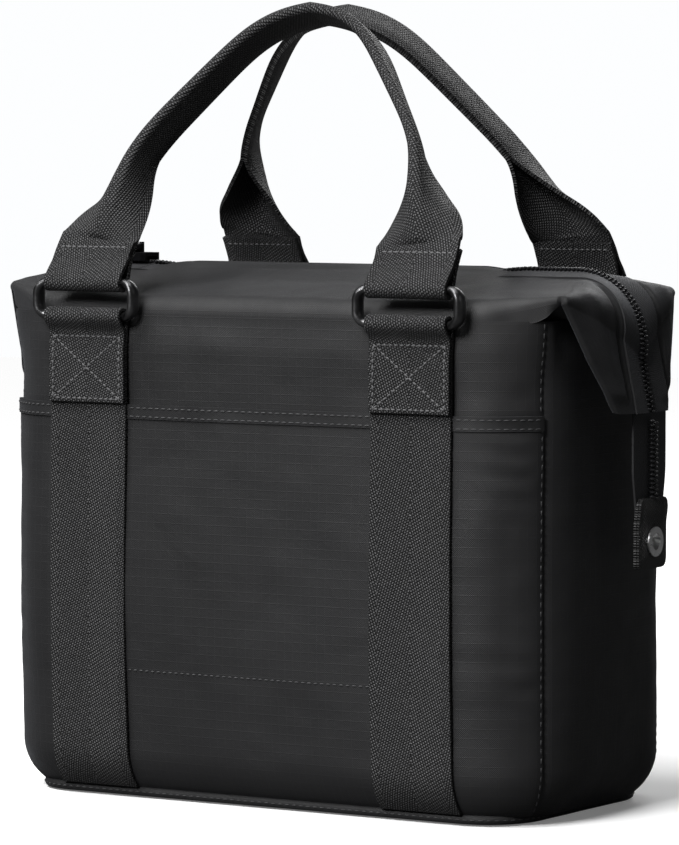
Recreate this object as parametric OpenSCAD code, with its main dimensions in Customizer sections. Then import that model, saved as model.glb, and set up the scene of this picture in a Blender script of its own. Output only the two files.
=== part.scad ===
// Insulated cooler bag: zip top tote with two webbing handles hung from flat metal rings.
// Millimetres, +Z up, front toward -Y, origin on the ground under the middle of the bag.

/* [Body] */
// Width across the two side faces
body_w = 266; // [240:2:300]
// Depth from the front face to the back face
body_d = 132; // [124:2:150]
// Height of the top edge of the front face
shoulder_z = 213; // [190:1:240]
// Rise of the closed mouth above the shoulders
ridge_rise = 9.3; // [6:0.1:14]
// Radius of the upright corners
corner_r = 38; // [30:1:44]
// Radius of the roll under the body
base_r = 22; // [16:1:28]
// Angle round each corner at which front and side cloth are joined
seam_angle = 60; // [45:1:75]

/* [Layers] */
// Thickness of the outer cloth
skin_t = 1.2; // [0.8:0.1:1.5]
// Thickness of the insulating foam
foam_t = 4.5; // [3:0.1:6]
// Thickness of the waterproof lining
liner_t = 0.8; // [0.5:0.1:1]
// Thickness of the pocket cloth
pocket_t = 1; // [0.6:0.1:1.2]
// Height of the pocket mouth
pocket_z = 166; // [140:1:175]
// Height of the folded hem along the pocket mouth
hem_h = 6; // [4:0.5:12]

/* [Mouth] */
// Half length of each hinged mouth panel
mouth_half = 90; // [80:1:92]
// Radius of the rolled shoulder edge
roll_r = 9; // [7:0.5:10]
// Half width of the zip tape
tape_half = 13.5; // [12:0.5:16]
// Thickness of the zip tape
tape_t = 1; // [0.6:0.1:1.2]
// Half width of the closed row of teeth
teeth_half = 3.2; // [2.5:0.1:3.4]
// Thickness of the teeth
teeth_t = 1.8; // [1.2:0.1:2.2]

/* [Side flaps] */
// Half length of the fold across the top of a side flap
ear_half = 46; // [40:1:47]
// Length of a side flap from its fold to its tip
ear_len = 50; // [44:1:56]
// Outward lean of a side flap
ear_tilt = 12; // [8:1:16]
// Length of free zip below a side flap
tail_len = 34; // [26:1:40]
// Width of the end tab
tab_w = 23; // [20:1:26]
// Length of the end tab
tab_len = 29; // [26:1:34]
// Radius of the hole through the eyelet
eyelet_bore_r = 3.5; // [3:0.1:4]

/* [Straps and rings] */
// Width of all the webbing
web_w = 38; // [34:1:39]
// Thickness of the webbing
web_t = 1.6; // [1.2:0.1:1.8]
// Distance of each strap from the middle of the bag
strap_x = 79; // [72:1:82]
// Height of the lower bar of each ring
ring_z = 202.5; // [198:0.5:206]
// Radius of the bars of a ring
bar_r = 2; // [1.5:0.1:2.2]
// Distance between the two bars of a ring
bar_gap = 14; // [13:0.5:16]
// Width of the side plates of a ring
plate_w = 5.5; // [4:0.5:7]

/* [Handles] */
// Inward lean of the handles at rest
handle_lean = 28.5; // [26:0.5:30]
// Height of a handle measured along its lean
handle_h = 124.5; // [115:0.5:128]
// Radius of the handle top
grip_r = 42; // [38:1:44]
// Width of the folded grip
grip_w = 19; // [17:0.5:19]
// Thickness of the folded grip
grip_t = 7; // [5:0.5:8]

/* [Hidden] */
$fn = 64;
eps = 0.01;
fit = 0.15;
far = 400;
half_w = body_w / 2;
half_d = body_d / 2;
foam_in = skin_t + fit;
liner_in = foam_in + foam_t + fit;
seam_z = 3;
foam_seam_z = 8;
corner_x = half_w - corner_r;
corner_y = half_d - corner_r;

// shoulder roll and mouth panels
roll_y = half_d - roll_r;
roll_z = shoulder_z - roll_r;
roll_clear = 0.3;
mouth_gap = 0.15;
panel_t = skin_t + foam_t + liner_t + 2 * fit;
slope = ridge_rise / roll_y;
tape_top = shoulder_z + ridge_rise + 0.1 + tape_t;
teeth_top = tape_top + 0.1 + teeth_t;
end_start = mouth_half + 0.3;
end_stop = half_w - 15.5;
roll_end = half_w - 5;
roll_low = -50;

// side flaps
ear_x = half_w - 3;
ear_cone_r = 9.5;
ear_tip_r = 2;
ear_room_r = 6;
ear_tape_r = ear_cone_r + 0.3;
ear_teeth_r = ear_tape_r + tape_t + 0.1;
ear_z = teeth_top - ear_teeth_r - teeth_t;
ear_ply = 2;
ear_start = 162;
side_drop = 1.5;
side_cut_half = ear_half + 1;
ear_knee_half = 34;
ear_knee_len = 25;
ear_tip_half = 15;

// free zip, end tab and eyelet
tail_r = ear_tape_r + tape_t / 2;
tail_x = ear_x + tail_r * cos(ear_tilt) + (ear_len + 0.5) * sin(ear_tilt);
tail_z = ear_z + tail_r * sin(ear_tilt) - (ear_len + 0.5) * cos(ear_tilt);
tail_start = 0.5;
tail_teeth_start = 3.2;
tab_t = tape_t + 2 * (web_t + 0.1);
tab_slot = 12;
eyelet_drop = tail_len + 18;
eyelet_tube = 0.8;
eyelet_flange = 2.6;
eyelet_plate = 0.7;

// straps and rings
strap_back = half_d + 1.3;
strap_face = strap_back + web_t;
bar_fit = 0.3;
bar_y = strap_face + bar_fit + bar_r;
loop_in = bar_r + bar_fit;
loop_out = loop_in + web_t;
fold_z = pocket_z + 0.5;
fold_top = ring_z - 7;
strap_arc_end = 45;
ring_half = web_w / 2 + 1.5;
plate_t = 4;
plate_over = 3.5;
upper_z = ring_z + bar_gap;

// binding round the base
binding_low = 0.8;
binding_top = 4.4;
binding_in = 5;

// handles
grip_slope = 54;
leg_r = 60;
leg_x = 76;
crown_z = handle_h - grip_r;
run_x = grip_r * sin(grip_slope);
run_z = crown_z + grip_r * cos(grip_slope);
bend_x = leg_x - leg_r * (1 - sin(grip_slope));
run_len = (bend_x - run_x) / cos(grip_slope);
leg_top = run_z - run_len * sin(grip_slope) - leg_r * cos(grip_slope);
base_h = 23;
base_t = 2 * web_t + 0.4;
fold_over = 5;
arch_step = 6;
// centreline of half the arch as [x, z, angle of the outward normal from +Z]
half_arch = [
    for (a = [0 : arch_step : grip_slope])
        [grip_r * sin(a), crown_z + grip_r * cos(a), a],
    for (a = [grip_slope : arch_step : 90])
        [leg_x - leg_r + leg_r * sin(a), leg_top + leg_r * cos(a), a]
];
arch = concat([for (i = [len(half_arch) - 1 : -1 : 1])
                   [-half_arch[i][0], half_arch[i][1], -half_arch[i][2]]], half_arch);

// slider and puller
slider_x = -103;
slider_len = 18;
slider_half = 5.2;
slider_wall = 1.5;
slider_t = 1.6;
slider_z = teeth_top + 0.3;
pin_z = slider_z + slider_t + 2.4;
pin_r = 0.9;
lug_in = 2.6;
lug_half = 2;
puller_eye_r = 2;
puller_t = 1.6;
puller_len = 24;
puller_neck = 5;
puller_half = 3.8;

// ---- shared shapes ----

module box_between(a, b) {
    translate(a) cube(b - a);
}

// upright block with rounded corners, drawn in by a distance on every side
module plan_block(inset, low, high) {
    r = corner_r - inset;
    x = half_w - inset;
    y = half_d - inset;
    box_between([-corner_x, -y, low], [corner_x, y, high]);
    box_between([-x, -corner_y, low], [x, corner_y, high]);
    for (sx = [-1, 1], sy = [-1, 1])
        translate([sx * corner_x, sy * corner_y, low]) cylinder(r = r, h = high - low);
}

// side view of the block: straight walls with rounded lower edges
module elevation(half, inset, length) {
    r = base_r - inset;
    x = half - inset;
    translate([0, length / 2, 0]) rotate([90, 0, 0]) linear_extrude(length) union() {
        translate([-x, base_r]) square([2 * x, far]);
        translate([-x + r, inset]) square([2 * (x - r), far]);
        for (s = [-1, 1]) translate([s * (x - r), base_r]) circle(r);
    }
}

// the whole body drawn in by a distance
module body_block(inset) {
    intersection() {
        plan_block(inset, inset, shoulder_z);
        elevation(half_w, inset, far);
        rotate([0, 0, 90]) elevation(half_d, inset, far);
    }
}

// the part of the plan in front of a line round each front corner
module front_zone(angle) {
    x = corner_x + far * sin(angle);
    y = corner_y + far * cos(angle);
    translate([0, 0, -far]) linear_extrude(2 * far)
        polygon([[-corner_x, -corner_y], [corner_x, -corner_y], [x, -y], [-x, -y]]);
}

// the part of the plan to the right of a line round each right corner
module right_zone(angle) {
    x = corner_x + far * sin(angle);
    y = corner_y + far * cos(angle);
    translate([0, 0, -far]) linear_extrude(2 * far)
        polygon([[corner_x, -corner_y], [x, -y], [x, y], [corner_x, corner_y]]);
}

// room for the turning shoulder rolls and side flaps
module turning_room() {
    for (s = [-1, 1]) {
        translate([-far / 2, s * roll_y, roll_z])
            rotate([0, 90, 0]) cylinder(r = roll_r + roll_clear, h = far);
        translate([-far / 2, s > 0 ? roll_y : -far - roll_y, roll_z]) cube([far, far, far]);
    }
    box_between([-far, -side_cut_half, roll_z - side_drop], [far, side_cut_half, far]);
}

// one layer of the walls between two insets
module wall_layer(outer, inner) {
    difference() {
        body_block(outer);
        body_block(inner);
        box_between([-far, -far, roll_z], [far, far, far]);
        turning_room();
    }
}

module skin_layer() { wall_layer(0, skin_t); }

module foam_layer() { wall_layer(foam_in, foam_in + foam_t); }

module above(z) {
    intersection() {
        children();
        box_between([-far, -far, z], [far, far, far]);
    }
}

module below(z) {
    intersection() {
        children();
        box_between([-far, -far, -far], [far, far, z]);
    }
}

// turn a shape drawn in the depth and height plane into a bar along the width
module along_width(from, to) {
    translate([from, 0, 0]) rotate([90, 0, 90]) linear_extrude(to - from) children();
}

// turn a shape drawn in the width and height plane into a bar along the depth
module along_depth(from, to) {
    translate([0, to, 0]) rotate([90, 0, 0]) linear_extrude(to - from) children();
}

module mirror_x() { mirror([1, 0, 0]) children(); }

module mirror_y() { mirror([0, 1, 0]) children(); }

// ---- body ----

module front_cloth() {
    intersection() {
        above(seam_z) skin_layer();
        front_zone(seam_angle);
    }
}

module side_cloth() {
    intersection() {
        above(seam_z) skin_layer();
        right_zone(seam_angle);
    }
}

module front_padding() {
    intersection() {
        above(foam_seam_z) foam_layer();
        front_zone(45);
    }
}

module side_padding() {
    intersection() {
        above(foam_seam_z) foam_layer();
        right_zone(45);
    }
}

module front_panel() { color("#1d1d20") front_cloth(); }

module back_panel() { color("#1d1d20") mirror_y() front_cloth(); }

module side_panel_right() { color("#19191b") side_cloth(); }

module side_panel_left() { color("#19191b") mirror_x() side_cloth(); }

module base_panel() { color("#19191b") below(seam_z) skin_layer(); }

module base_binding() {
    color("#111113")
    difference() {
        plan_block(binding_in, binding_low, binding_top);
        body_block(-fit);
    }
}

module front_foam() { color("#c9cdd1") front_padding(); }

module back_foam() { color("#c9cdd1") mirror_y() front_padding(); }

module side_foam_right() { color("#c9cdd1") side_padding(); }

module side_foam_left() { color("#c9cdd1") mirror_x() side_padding(); }

module base_foam() { color("#c9cdd1") below(foam_seam_z) foam_layer(); }

module liner() { color("#b9bec4") wall_layer(liner_in, liner_in + liner_t); }

module pocket_layer() {
    intersection() {
        difference() {
            body_block(-0.1 - pocket_t);
            body_block(-0.1);
        }
        front_zone(seam_angle);
    }
}

module pocket_panel() {
    color("#1d1d20") above(binding_top + fit) below(pocket_z - hem_h) pocket_layer();
}

module pocket_hem() {
    color("#161618") above(pocket_z - hem_h) below(pocket_z) pocket_layer();
}

// ---- mouth ----

// height of the top of the closed mouth at a distance from the middle
function roof_at(y) = shoulder_z + slope * (roll_y - y);

// band lying on the roof between two distances from the middle, from one depth to another
module roof_band(y0, y1, top, low) {
    polygon([[y0, roof_at(y0) + top], [y1, roof_at(y1) + top],
             [y1, roof_at(y1) + low], [y0, roof_at(y0) + low]]);
}

module roll_sector(start, stop) {
    intersection() {
        circle(roll_r);
        polygon([[0, 0], for (a = [start:(stop - start) / 6:stop]) 2 * roll_r * [cos(a), sin(a)]]);
    }
}

module mouth_skin_shape() {
    translate([roll_y, roll_z]) difference() {
        roll_sector(roll_low, 90);
        circle(roll_r - skin_t);
    }
    roof_band(mouth_gap, roll_y, 0, -skin_t);
}

module mouth_foam_shape() {
    top = -skin_t - fit;
    translate([roll_y, roll_z]) circle(roll_r - skin_t - fit);
    roof_band(mouth_gap, roll_y, top, top - foam_t);
}

module mouth_lining_shape() {
    top = -panel_t + liner_t;
    difference() {
        roof_band(mouth_gap, roll_y, top, -panel_t);
        translate([roll_y, roll_z]) circle(roll_r - skin_t);
    }
}

module tape_shape(from) { roof_band(from, tape_half, 0.1 + tape_t, 0.1); }

module teeth_shape(from) {
    roof_band(from, teeth_half, 0.2 + tape_t + teeth_t, 0.2 + tape_t);
}

module mouth_bar() { along_width(-mouth_half, mouth_half) children(); }

module mouth_skin_back() { color("#202023") mouth_bar() mouth_skin_shape(); }

module mouth_skin_front() { color("#202023") mirror_y() mouth_bar() mouth_skin_shape(); }

module mouth_foam_back() { color("#c9cdd1") mouth_bar() mouth_foam_shape(); }

module mouth_foam_front() { color("#c9cdd1") mirror_y() mouth_bar() mouth_foam_shape(); }

module mouth_lining_back() { color("#b9bec4") mouth_bar() mouth_lining_shape(); }

module mouth_lining_front() { color("#b9bec4") mirror_y() mouth_bar() mouth_lining_shape(); }

module zip_tape_back() { color("#141416") mouth_bar() tape_shape(mouth_gap); }

module zip_tape_front() { color("#141416") mirror_y() mouth_bar() tape_shape(mouth_gap); }

module zip_teeth_back() { color("#0c0c0d") mouth_bar() teeth_shape(mouth_gap); }

module zip_teeth_front() { color("#0c0c0d") mirror_y() mouth_bar() teeth_shape(mouth_gap); }

// room for a side flap turning about its fold
module ear_room() {
    translate([ear_x, 0, ear_z]) {
        for (s = [0, 1]) mirror([0, s, 0]) rotate([-90, 0, 0])
            cylinder(r1 = ear_cone_r + 0.4, r2 = ear_room_r, h = ear_half + 0.5);
        rotate([90, 0, 0])
            cylinder(r = ear_teeth_r + teeth_t + 0.3, h = 2 * (tape_half + 0.3), center = true);
    }
}

// fixed end of the roof between the hinged panels and the side flap
module roof_end() {
    intersection() {
        union() {
            for (s = [0, 1]) mirror([0, s, 0]) {
                along_width(end_start, ear_x) roof_band(0, roll_y, 0, -panel_t);
                along_width(end_start, roll_end)
                    translate([roll_y, roll_z]) circle(roll_r);
            }
        }
        difference() {
            plan_block(0, 0, far);
            ear_room();
        }
    }
}

module both_sides() {
    children();
    mirror_y() children();
}

module zip_end_tape() {
    both_sides() along_width(end_start, end_stop) tape_shape(0);
}

module zip_end_teeth() {
    both_sides() along_width(end_start, end_stop) teeth_shape(0);
}

module roof_end_right() { color("#202023") roof_end(); }

module roof_end_left() { color("#202023") mirror_x() roof_end(); }

module zip_end_tape_right() { color("#141416") zip_end_tape(); }

module zip_end_tape_left() { color("#141416") mirror_x() zip_end_tape(); }

module zip_end_teeth_right() { color("#0c0c0d") zip_end_teeth(); }

module zip_end_teeth_left() { color("#0c0c0d") mirror_x() zip_end_teeth(); }

// ---- side flaps ----

// the flap's own frame: origin on its fold, plate hanging down, outward is +X
module ear_frame() {
    translate([ear_x, 0, ear_z]) rotate([0, -ear_tilt, 0]) children();
}

// small block at a point of a flap, for hulls
module ear_peg(x, y, z, t) {
    translate([x, y, z]) cube([t, 1, 1], center = true);
}

// sheet of a flap: corners, knees and tip, at a distance from the fold line
module ear_plate(x, shrink) {
    hull() for (s = [-1, 1]) {
        ear_peg(x, s * (ear_half - shrink), -0.5 - shrink, ear_ply);
        ear_peg(x, s * (ear_knee_half - shrink), -ear_knee_len, ear_ply);
        ear_peg(x, s * (ear_tip_half - shrink), -ear_len + 0.5 + shrink, ear_ply);
    }
}

module ear_skin() {
    ear_frame() {
        for (s = [0, 1]) mirror([0, s, 0]) rotate([-90, 0, 0])
            cylinder(r1 = ear_cone_r, r2 = ear_tip_r, h = ear_half);
        hull() {
            ear_peg(0, 0, ear_cone_r - 1.5, 1);
            for (s = [-1, 1]) ear_peg(ear_cone_r - ear_ply / 2, s * (ear_half - 0.5), -0.5, ear_ply);
        }
        ear_plate(ear_cone_r - ear_ply / 2, 0);
    }
}

module ear_lining() {
    ear_frame() difference() {
        ear_plate(ear_cone_r - 1.5 * ear_ply - 0.1, 2);
        rotate([90, 0, 0]) cylinder(r = ear_cone_r + 0.1, h = far, center = true);
    }
}

// strip round the fold and down the flap
module ear_strip(r, t, half) {
    ear_frame() {
        rotate([90, 0, 0]) translate([0, 0, -half]) linear_extrude(2 * half)
            intersection() {
                difference() {
                    circle(r + t);
                    circle(r);
                }
                polygon([[0, 0], for (a = [0:ear_start / 9:ear_start + eps]) far * [cos(a), sin(a)]]);
            }
        box_between([r, -half, -ear_len], [r + t, half, 0]);
    }
}

module ear_skin_right() { color("#202023") ear_skin(); }

module ear_skin_left() { color("#202023") mirror_x() ear_skin(); }

module ear_lining_right() { color("#19191b") ear_lining(); }

module ear_lining_left() { color("#19191b") mirror_x() ear_lining(); }

module ear_tape_right() { color("#141416") ear_strip(ear_tape_r, tape_t, tape_half); }

module ear_tape_left() { color("#141416") mirror_x() ear_strip(ear_tape_r, tape_t, tape_half); }

module ear_teeth_right() { color("#0c0c0d") ear_strip(ear_teeth_r, teeth_t, teeth_half); }

module ear_teeth_left() { color("#0c0c0d") mirror_x() ear_strip(ear_teeth_r, teeth_t, teeth_half); }

// ---- free zip, end tab and eyelet ----

module tail_frame() { translate([tail_x, 0, tail_z]) children(); }

module tail_tape() {
    tail_frame() box_between([-tape_t / 2, -tab_w / 2 + 1, -tail_len - tab_slot + 0.5],
                             [tape_t / 2, tab_w / 2 - 1, -tail_start]);
}

module tail_teeth() {
    tail_frame() box_between([tape_t / 2 + 0.1, -teeth_half, -tail_len + 0.5],
                             [tape_t / 2 + 0.1 + teeth_t, teeth_half, -tail_teeth_start]);
}

module tab_hole(r) {
    tail_frame() translate([0, 0, -eyelet_drop]) rotate([0, 90, 0])
        cylinder(r = r, h = far, center = true);
}

module end_tab() {
    difference() {
        tail_frame() box_between([-tab_t / 2, -tab_w / 2, -tail_len - tab_len],
                                 [tab_t / 2, tab_w / 2, -tail_len]);
        tail_frame() box_between([-tape_t / 2 - 0.1, -tab_w / 2 + 0.8, -tail_len - tab_slot],
                                 [tape_t / 2 + 0.1, tab_w / 2 - 0.8, 0]);
        tab_hole(eyelet_bore_r + eyelet_tube + 0.1);
    }
}

module eyelet() {
    r = eyelet_bore_r + eyelet_tube;
    half = tab_t / 2 + 0.05 + eyelet_plate;
    tail_frame() translate([0, 0, -eyelet_drop]) rotate([0, 90, 0]) difference() {
        union() {
            translate([0, 0, -half]) cylinder(r = r, h = 2 * half);
            for (s = [0, 1]) mirror([0, 0, s])
                translate([0, 0, half - eyelet_plate])
                    cylinder(r = eyelet_bore_r + eyelet_flange, h = eyelet_plate);
        }
        cylinder(r = eyelet_bore_r, h = far, center = true);
    }
}

module tail_tape_right() { color("#141416") tail_tape(); }

module tail_tape_left() { color("#141416") mirror_x() tail_tape(); }

module tail_teeth_right() { color("#0c0c0d") tail_teeth(); }

module tail_teeth_left() { color("#0c0c0d") mirror_x() tail_teeth(); }

module end_tab_right() { color("#141416") end_tab(); }

module end_tab_left() { color("#141416") mirror_x() end_tab(); }

module eyelet_right() { color("#d5d7da") eyelet(); }

module eyelet_left() { color("#d5d7da") mirror_x() eyelet(); }

// ---- straps and rings, drawn for the back right ----

// loop of a strap round the lower bar of its ring
module strap_loop_shape() {
    translate([bar_y, ring_z]) difference() {
        circle(loop_out);
        circle(loop_in);
        translate([-far, -2 * far]) square(2 * far);
    }
}

// ply of a strap rolled under the body
module strap_roll_shape() {
    inner = base_r + strap_back - half_d;
    translate([half_d - base_r, base_r]) intersection() {
        difference() {
            circle(inner + web_t);
            circle(inner);
        }
        polygon([[0, 0], [far, 0], far * [cos(strap_arc_end), -sin(strap_arc_end)]]);
    }
}

module strap_bar() {
    along_width(strap_x - web_w / 2, strap_x + web_w / 2) children();
}

module strap() {
    end_y = strap_face + 0.1;
    strap_bar() strap_roll_shape();
    strap_bar() translate([strap_back, base_r]) square([web_t, ring_z - base_r]);
    strap_bar() strap_loop_shape();
    // folded end, stitched down
    strap_bar() polygon([[bar_y + loop_in, ring_z], [bar_y + loop_out, ring_z],
                         [end_y + web_t, fold_top], [end_y + web_t, fold_z],
                         [end_y, fold_z], [end_y, fold_top - 1]]);
}

module ring() {
    for (s = [-1, 1]) translate([strap_x + s * (ring_half + plate_w / 2), bar_y, 0])
        ring_plate();
    for (z = [ring_z, upper_z])
        translate([strap_x - ring_half - 1, bar_y, z]) rotate([0, 90, 0])
            cylinder(r = bar_r, h = 2 * ring_half + 2);
}

// side plate of a ring with rounded corners
module ring_plate() {
    r = 1.8;
    low = ring_z - plate_over;
    high = upper_z + plate_over;
    along_depth(-plate_t / 2, plate_t / 2) union() {
        translate([-plate_w / 2, low + r]) square([plate_w, high - low - 2 * r]);
        translate([-plate_w / 2 + r, low]) square([plate_w - 2 * r, high - low]);
        for (x = [-1, 1], z = [low + r, high - r])
            translate([x * (plate_w / 2 - r), z]) circle(r);
    }
}

module strap_back_right() { color("#151517") strap(); }

module strap_back_left() { color("#151517") mirror_x() strap(); }

module strap_front_right() { color("#151517") mirror_y() strap(); }

module strap_front_left() { color("#151517") mirror_x() mirror_y() strap(); }

module ring_back_right() { color("#3a3b3e") ring(); }

module ring_back_left() { color("#3a3b3e") mirror_x() ring(); }

module ring_front_right() { color("#3a3b3e") mirror_y() ring(); }

module ring_front_left() { color("#3a3b3e") mirror_x() mirror_y() ring(); }

// ---- handles, drawn upright for the back and leaned toward the middle ----

function arch_edge(off) = [for (p = arch) [p[0] + off * sin(p[2]), p[1] + off * cos(p[2])]];

function reversed(list) = [for (i = [len(list) - 1 : -1 : 0]) list[i]];

// folded webbing of the grip, bent flat to the plane of the arch
module grip() {
    rotate([90, 0, 0]) linear_extrude(grip_w, center = true)
        polygon(concat(arch_edge(grip_t / 2), reversed(arch_edge(-grip_t / 2))));
}

// thin level block across a leg, for its hull
module fold_box(x, z, w, d) {
    translate([x - w / 2, -d / 2, z]) cube([w, d, 1]);
}

// one leg under the grip: folded webbing and the loop round the bar
module handle_leg() {
    // webbing folding up into the grip, its narrow end inside the grip
    hull() {
        fold_box(leg_x, leg_top + fold_over, grip_t - 1.4, grip_w - 1.4);
        fold_box(leg_x, leg_top - 1, grip_t + 1, grip_w - 1);
        fold_box(strap_x, base_h - 1, web_w, base_t);
    }
    box_between([strap_x - web_w / 2, -base_t / 2, loop_in + 0.5],
                [strap_x + web_w / 2, base_t / 2, base_h]);
    translate([strap_x - web_w / 2, 0, 0]) rotate([0, 90, 0]) difference() {
        cylinder(r = loop_out, h = web_w);
        translate([0, 0, -1]) cylinder(r = loop_in, h = web_w + 2);
    }
}

module handle() {
    translate([0, bar_y, upper_z]) rotate([handle_lean, 0, 0]) {
        grip();
        handle_leg();
        mirror_x() handle_leg();
    }
}

module handle_back() { color("#151517") handle(); }

module handle_front() { color("#151517") mirror_y() handle(); }

// ---- slider and puller ----

module zip_slider() {
    color("#17171a") {
        box_between([slider_x - slider_len / 2, -slider_half, slider_z],
                    [slider_x + slider_len / 2, slider_half, slider_z + slider_t]);
        for (s = [0, 1]) mirror([0, s, 0]) {
            box_between([slider_x - slider_len / 2, slider_half - slider_wall, tape_top + 0.3],
                        [slider_x + slider_len / 2, slider_half, slider_z]);
            box_between([slider_x - lug_half, lug_in, slider_z + slider_t],
                        [slider_x + lug_half, lug_in + slider_wall, pin_z + lug_half]);
        }
        translate([slider_x, 0, pin_z]) rotate([90, 0, 0])
            cylinder(r = pin_r, h = 2 * lug_in + 1, center = true);
    }
}

module zip_puller() {
    neck = lug_in - 0.4;
    color("#17171a") translate([slider_x, 0, pin_z]) difference() {
        union() {
            rotate([90, 0, 0]) cylinder(r = puller_eye_r, h = 2 * neck, center = true);
            box_between([-puller_neck, -neck, -puller_t / 2], [0, neck, puller_t / 2]);
            box_between([-puller_len, -puller_half, -puller_t / 2],
                        [-puller_neck, puller_half, puller_t / 2]);
        }
        rotate([90, 0, 0]) cylinder(r = pin_r + 0.2, h = far, center = true);
    }
}

front_panel();
back_panel();
side_panel_left();
side_panel_right();
base_panel();
base_binding();
front_foam();
back_foam();
side_foam_left();
side_foam_right();
base_foam();
liner();
pocket_panel();
pocket_hem();
roof_end_left();
roof_end_right();
zip_end_tape_left();
zip_end_tape_right();
zip_end_teeth_left();
zip_end_teeth_right();
mouth_skin_front();
mouth_skin_back();
mouth_foam_front();
mouth_foam_back();
mouth_lining_front();
mouth_lining_back();
zip_tape_front();
zip_tape_back();
zip_teeth_front();
zip_teeth_back();
ear_skin_left();
ear_skin_right();
ear_lining_left();
ear_lining_right();
ear_tape_left();
ear_tape_right();
ear_teeth_left();
ear_teeth_right();
tail_tape_left();
tail_tape_right();
tail_teeth_left();
tail_teeth_right();
end_tab_left();
end_tab_right();
eyelet_left();
eyelet_right();
strap_front_left();
strap_front_right();
strap_back_left();
strap_back_right();
ring_front_left();
ring_front_right();
ring_back_left();
ring_back_right();
handle_front();
handle_back();
zip_slider();
zip_puller();
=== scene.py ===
import math

import bmesh
import bpy
from mathutils import Matrix, Vector, noise


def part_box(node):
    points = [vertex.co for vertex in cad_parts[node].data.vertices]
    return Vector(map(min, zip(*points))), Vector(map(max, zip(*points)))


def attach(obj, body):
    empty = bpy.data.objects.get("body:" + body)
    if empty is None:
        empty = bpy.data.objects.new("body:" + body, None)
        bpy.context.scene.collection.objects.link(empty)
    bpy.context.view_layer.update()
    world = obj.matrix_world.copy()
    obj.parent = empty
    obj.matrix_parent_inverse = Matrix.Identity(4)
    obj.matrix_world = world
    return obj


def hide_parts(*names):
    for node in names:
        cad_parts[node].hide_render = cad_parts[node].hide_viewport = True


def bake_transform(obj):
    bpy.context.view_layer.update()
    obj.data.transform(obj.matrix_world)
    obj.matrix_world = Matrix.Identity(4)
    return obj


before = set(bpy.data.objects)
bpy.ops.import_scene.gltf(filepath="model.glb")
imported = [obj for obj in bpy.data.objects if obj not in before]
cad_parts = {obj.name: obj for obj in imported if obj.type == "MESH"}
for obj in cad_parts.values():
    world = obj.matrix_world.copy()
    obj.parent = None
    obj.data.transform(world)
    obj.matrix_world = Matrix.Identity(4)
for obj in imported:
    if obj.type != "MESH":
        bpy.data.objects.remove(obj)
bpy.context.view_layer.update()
scene = bpy.context.scene
mm = 0.001
sharpAngle = math.radians(50)
bothFaces = ((-1, "front"), (1, "back"))
bothSides = ((-1, "left"), (1, "right"))

# the bag's own dimensions in millimetres, taken from the frame
wallLow, wallHigh = (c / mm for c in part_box("front_panel"))
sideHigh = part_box("side_panel_right")[1] / mm
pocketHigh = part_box("pocket_panel")[1] / mm
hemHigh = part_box("pocket_hem")[1] / mm
bindingLow, bindingHigh = (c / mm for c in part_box("base_binding"))
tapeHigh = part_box("zip_tape_back")[1] / mm
strapLow, strapHigh = (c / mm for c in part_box("strap_back_right"))
ringLow, ringHigh = (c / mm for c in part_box("ring_back_right"))
eyeletLow, eyeletHigh = (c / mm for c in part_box("eyelet_right"))
tabLow, tabHigh = (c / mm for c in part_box("end_tab_right"))

bag = {
    "halfWidth": sideHigh.x,
    "halfDepth": -wallLow.y,
    "cornerRadius": 38.0,
    "baseRadius": 22.0,
    "wallTop": wallHigh.z,
    "rollRadius": 9.0,
    "seamAngle": math.radians(60),
    "ridgeTop": tapeHigh.z - 1.1,
    "skin": 1.2,
}
bag["cornerX"] = bag["halfWidth"] - bag["cornerRadius"]
bag["cornerY"] = bag["halfDepth"] - bag["cornerRadius"]
bag["rollY"] = bag["halfDepth"] - bag["rollRadius"]
bag["shoulder"] = bag["wallTop"] + bag["rollRadius"]
seam = bag["cornerX"] + bag["cornerRadius"] * bag["seamAngle"]
quarter = bag["cornerX"] + bag["cornerY"] + bag["cornerRadius"] * math.pi / 2


# mesh helpers

def clothPatch(stepsU, stepsV, place, sizeU, sizeV, inside=(0, 0, 110)):
    # a grid laid onto a surface; its UV map is in metres of cloth
    bm = bmesh.new()
    uvLayer = bm.loops.layers.uv.new("cloth")
    bmesh.ops.create_grid(bm, x_segments=stepsU, y_segments=stepsV, size=0.5)
    spots = [(v.co.x + 0.5, v.co.y + 0.5) for v in bm.verts]
    for v, (u, w) in zip(bm.verts, spots):
        v.co = Vector(place(u, w)) * mm
    for face in bm.faces:
        for loop in face.loops:
            u, w = spots[loop.vert.index]
            loop[uvLayer].uv = (u * sizeU * mm, w * sizeV * mm)
    bm.normal_update()
    centre = Vector(inside) * mm
    lean = sum(f.normal.dot(f.calc_center_median() - centre) * f.calc_area() for f in bm.faces)
    if lean < 0:
        bmesh.ops.reverse_faces(bm, faces=bm.faces[:])
    return bm


def newPiece(name, bm, material):
    mesh = bpy.data.meshes.new(name)
    bm.to_mesh(mesh)
    bm.free()
    mesh.materials.append(material)
    piece = bpy.data.objects.new(name, mesh)
    scene.collection.objects.link(piece)
    return piece


def finishPiece(name, bm, material, thickness=0.0, offset=-1.0, smooth=True):
    # offset -1 grows the wall inward from the drawn face, 0 to both sides, 1 outward
    bm.normal_update()
    if thickness:
        for v in bm.verts:
            v.co += v.normal * (thickness * (offset + 1) / 2 * mm)
        bmesh.ops.solidify(bm, geom=bm.faces[:], thickness=thickness * mm)
    bm.normal_update()
    for face in bm.faces:
        face.smooth = smooth
    for e in bm.edges:
        if e.is_manifold and e.calc_face_angle(0) > sharpAngle:
            e.smooth = False
    return newPiece(name, bm, material)


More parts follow.
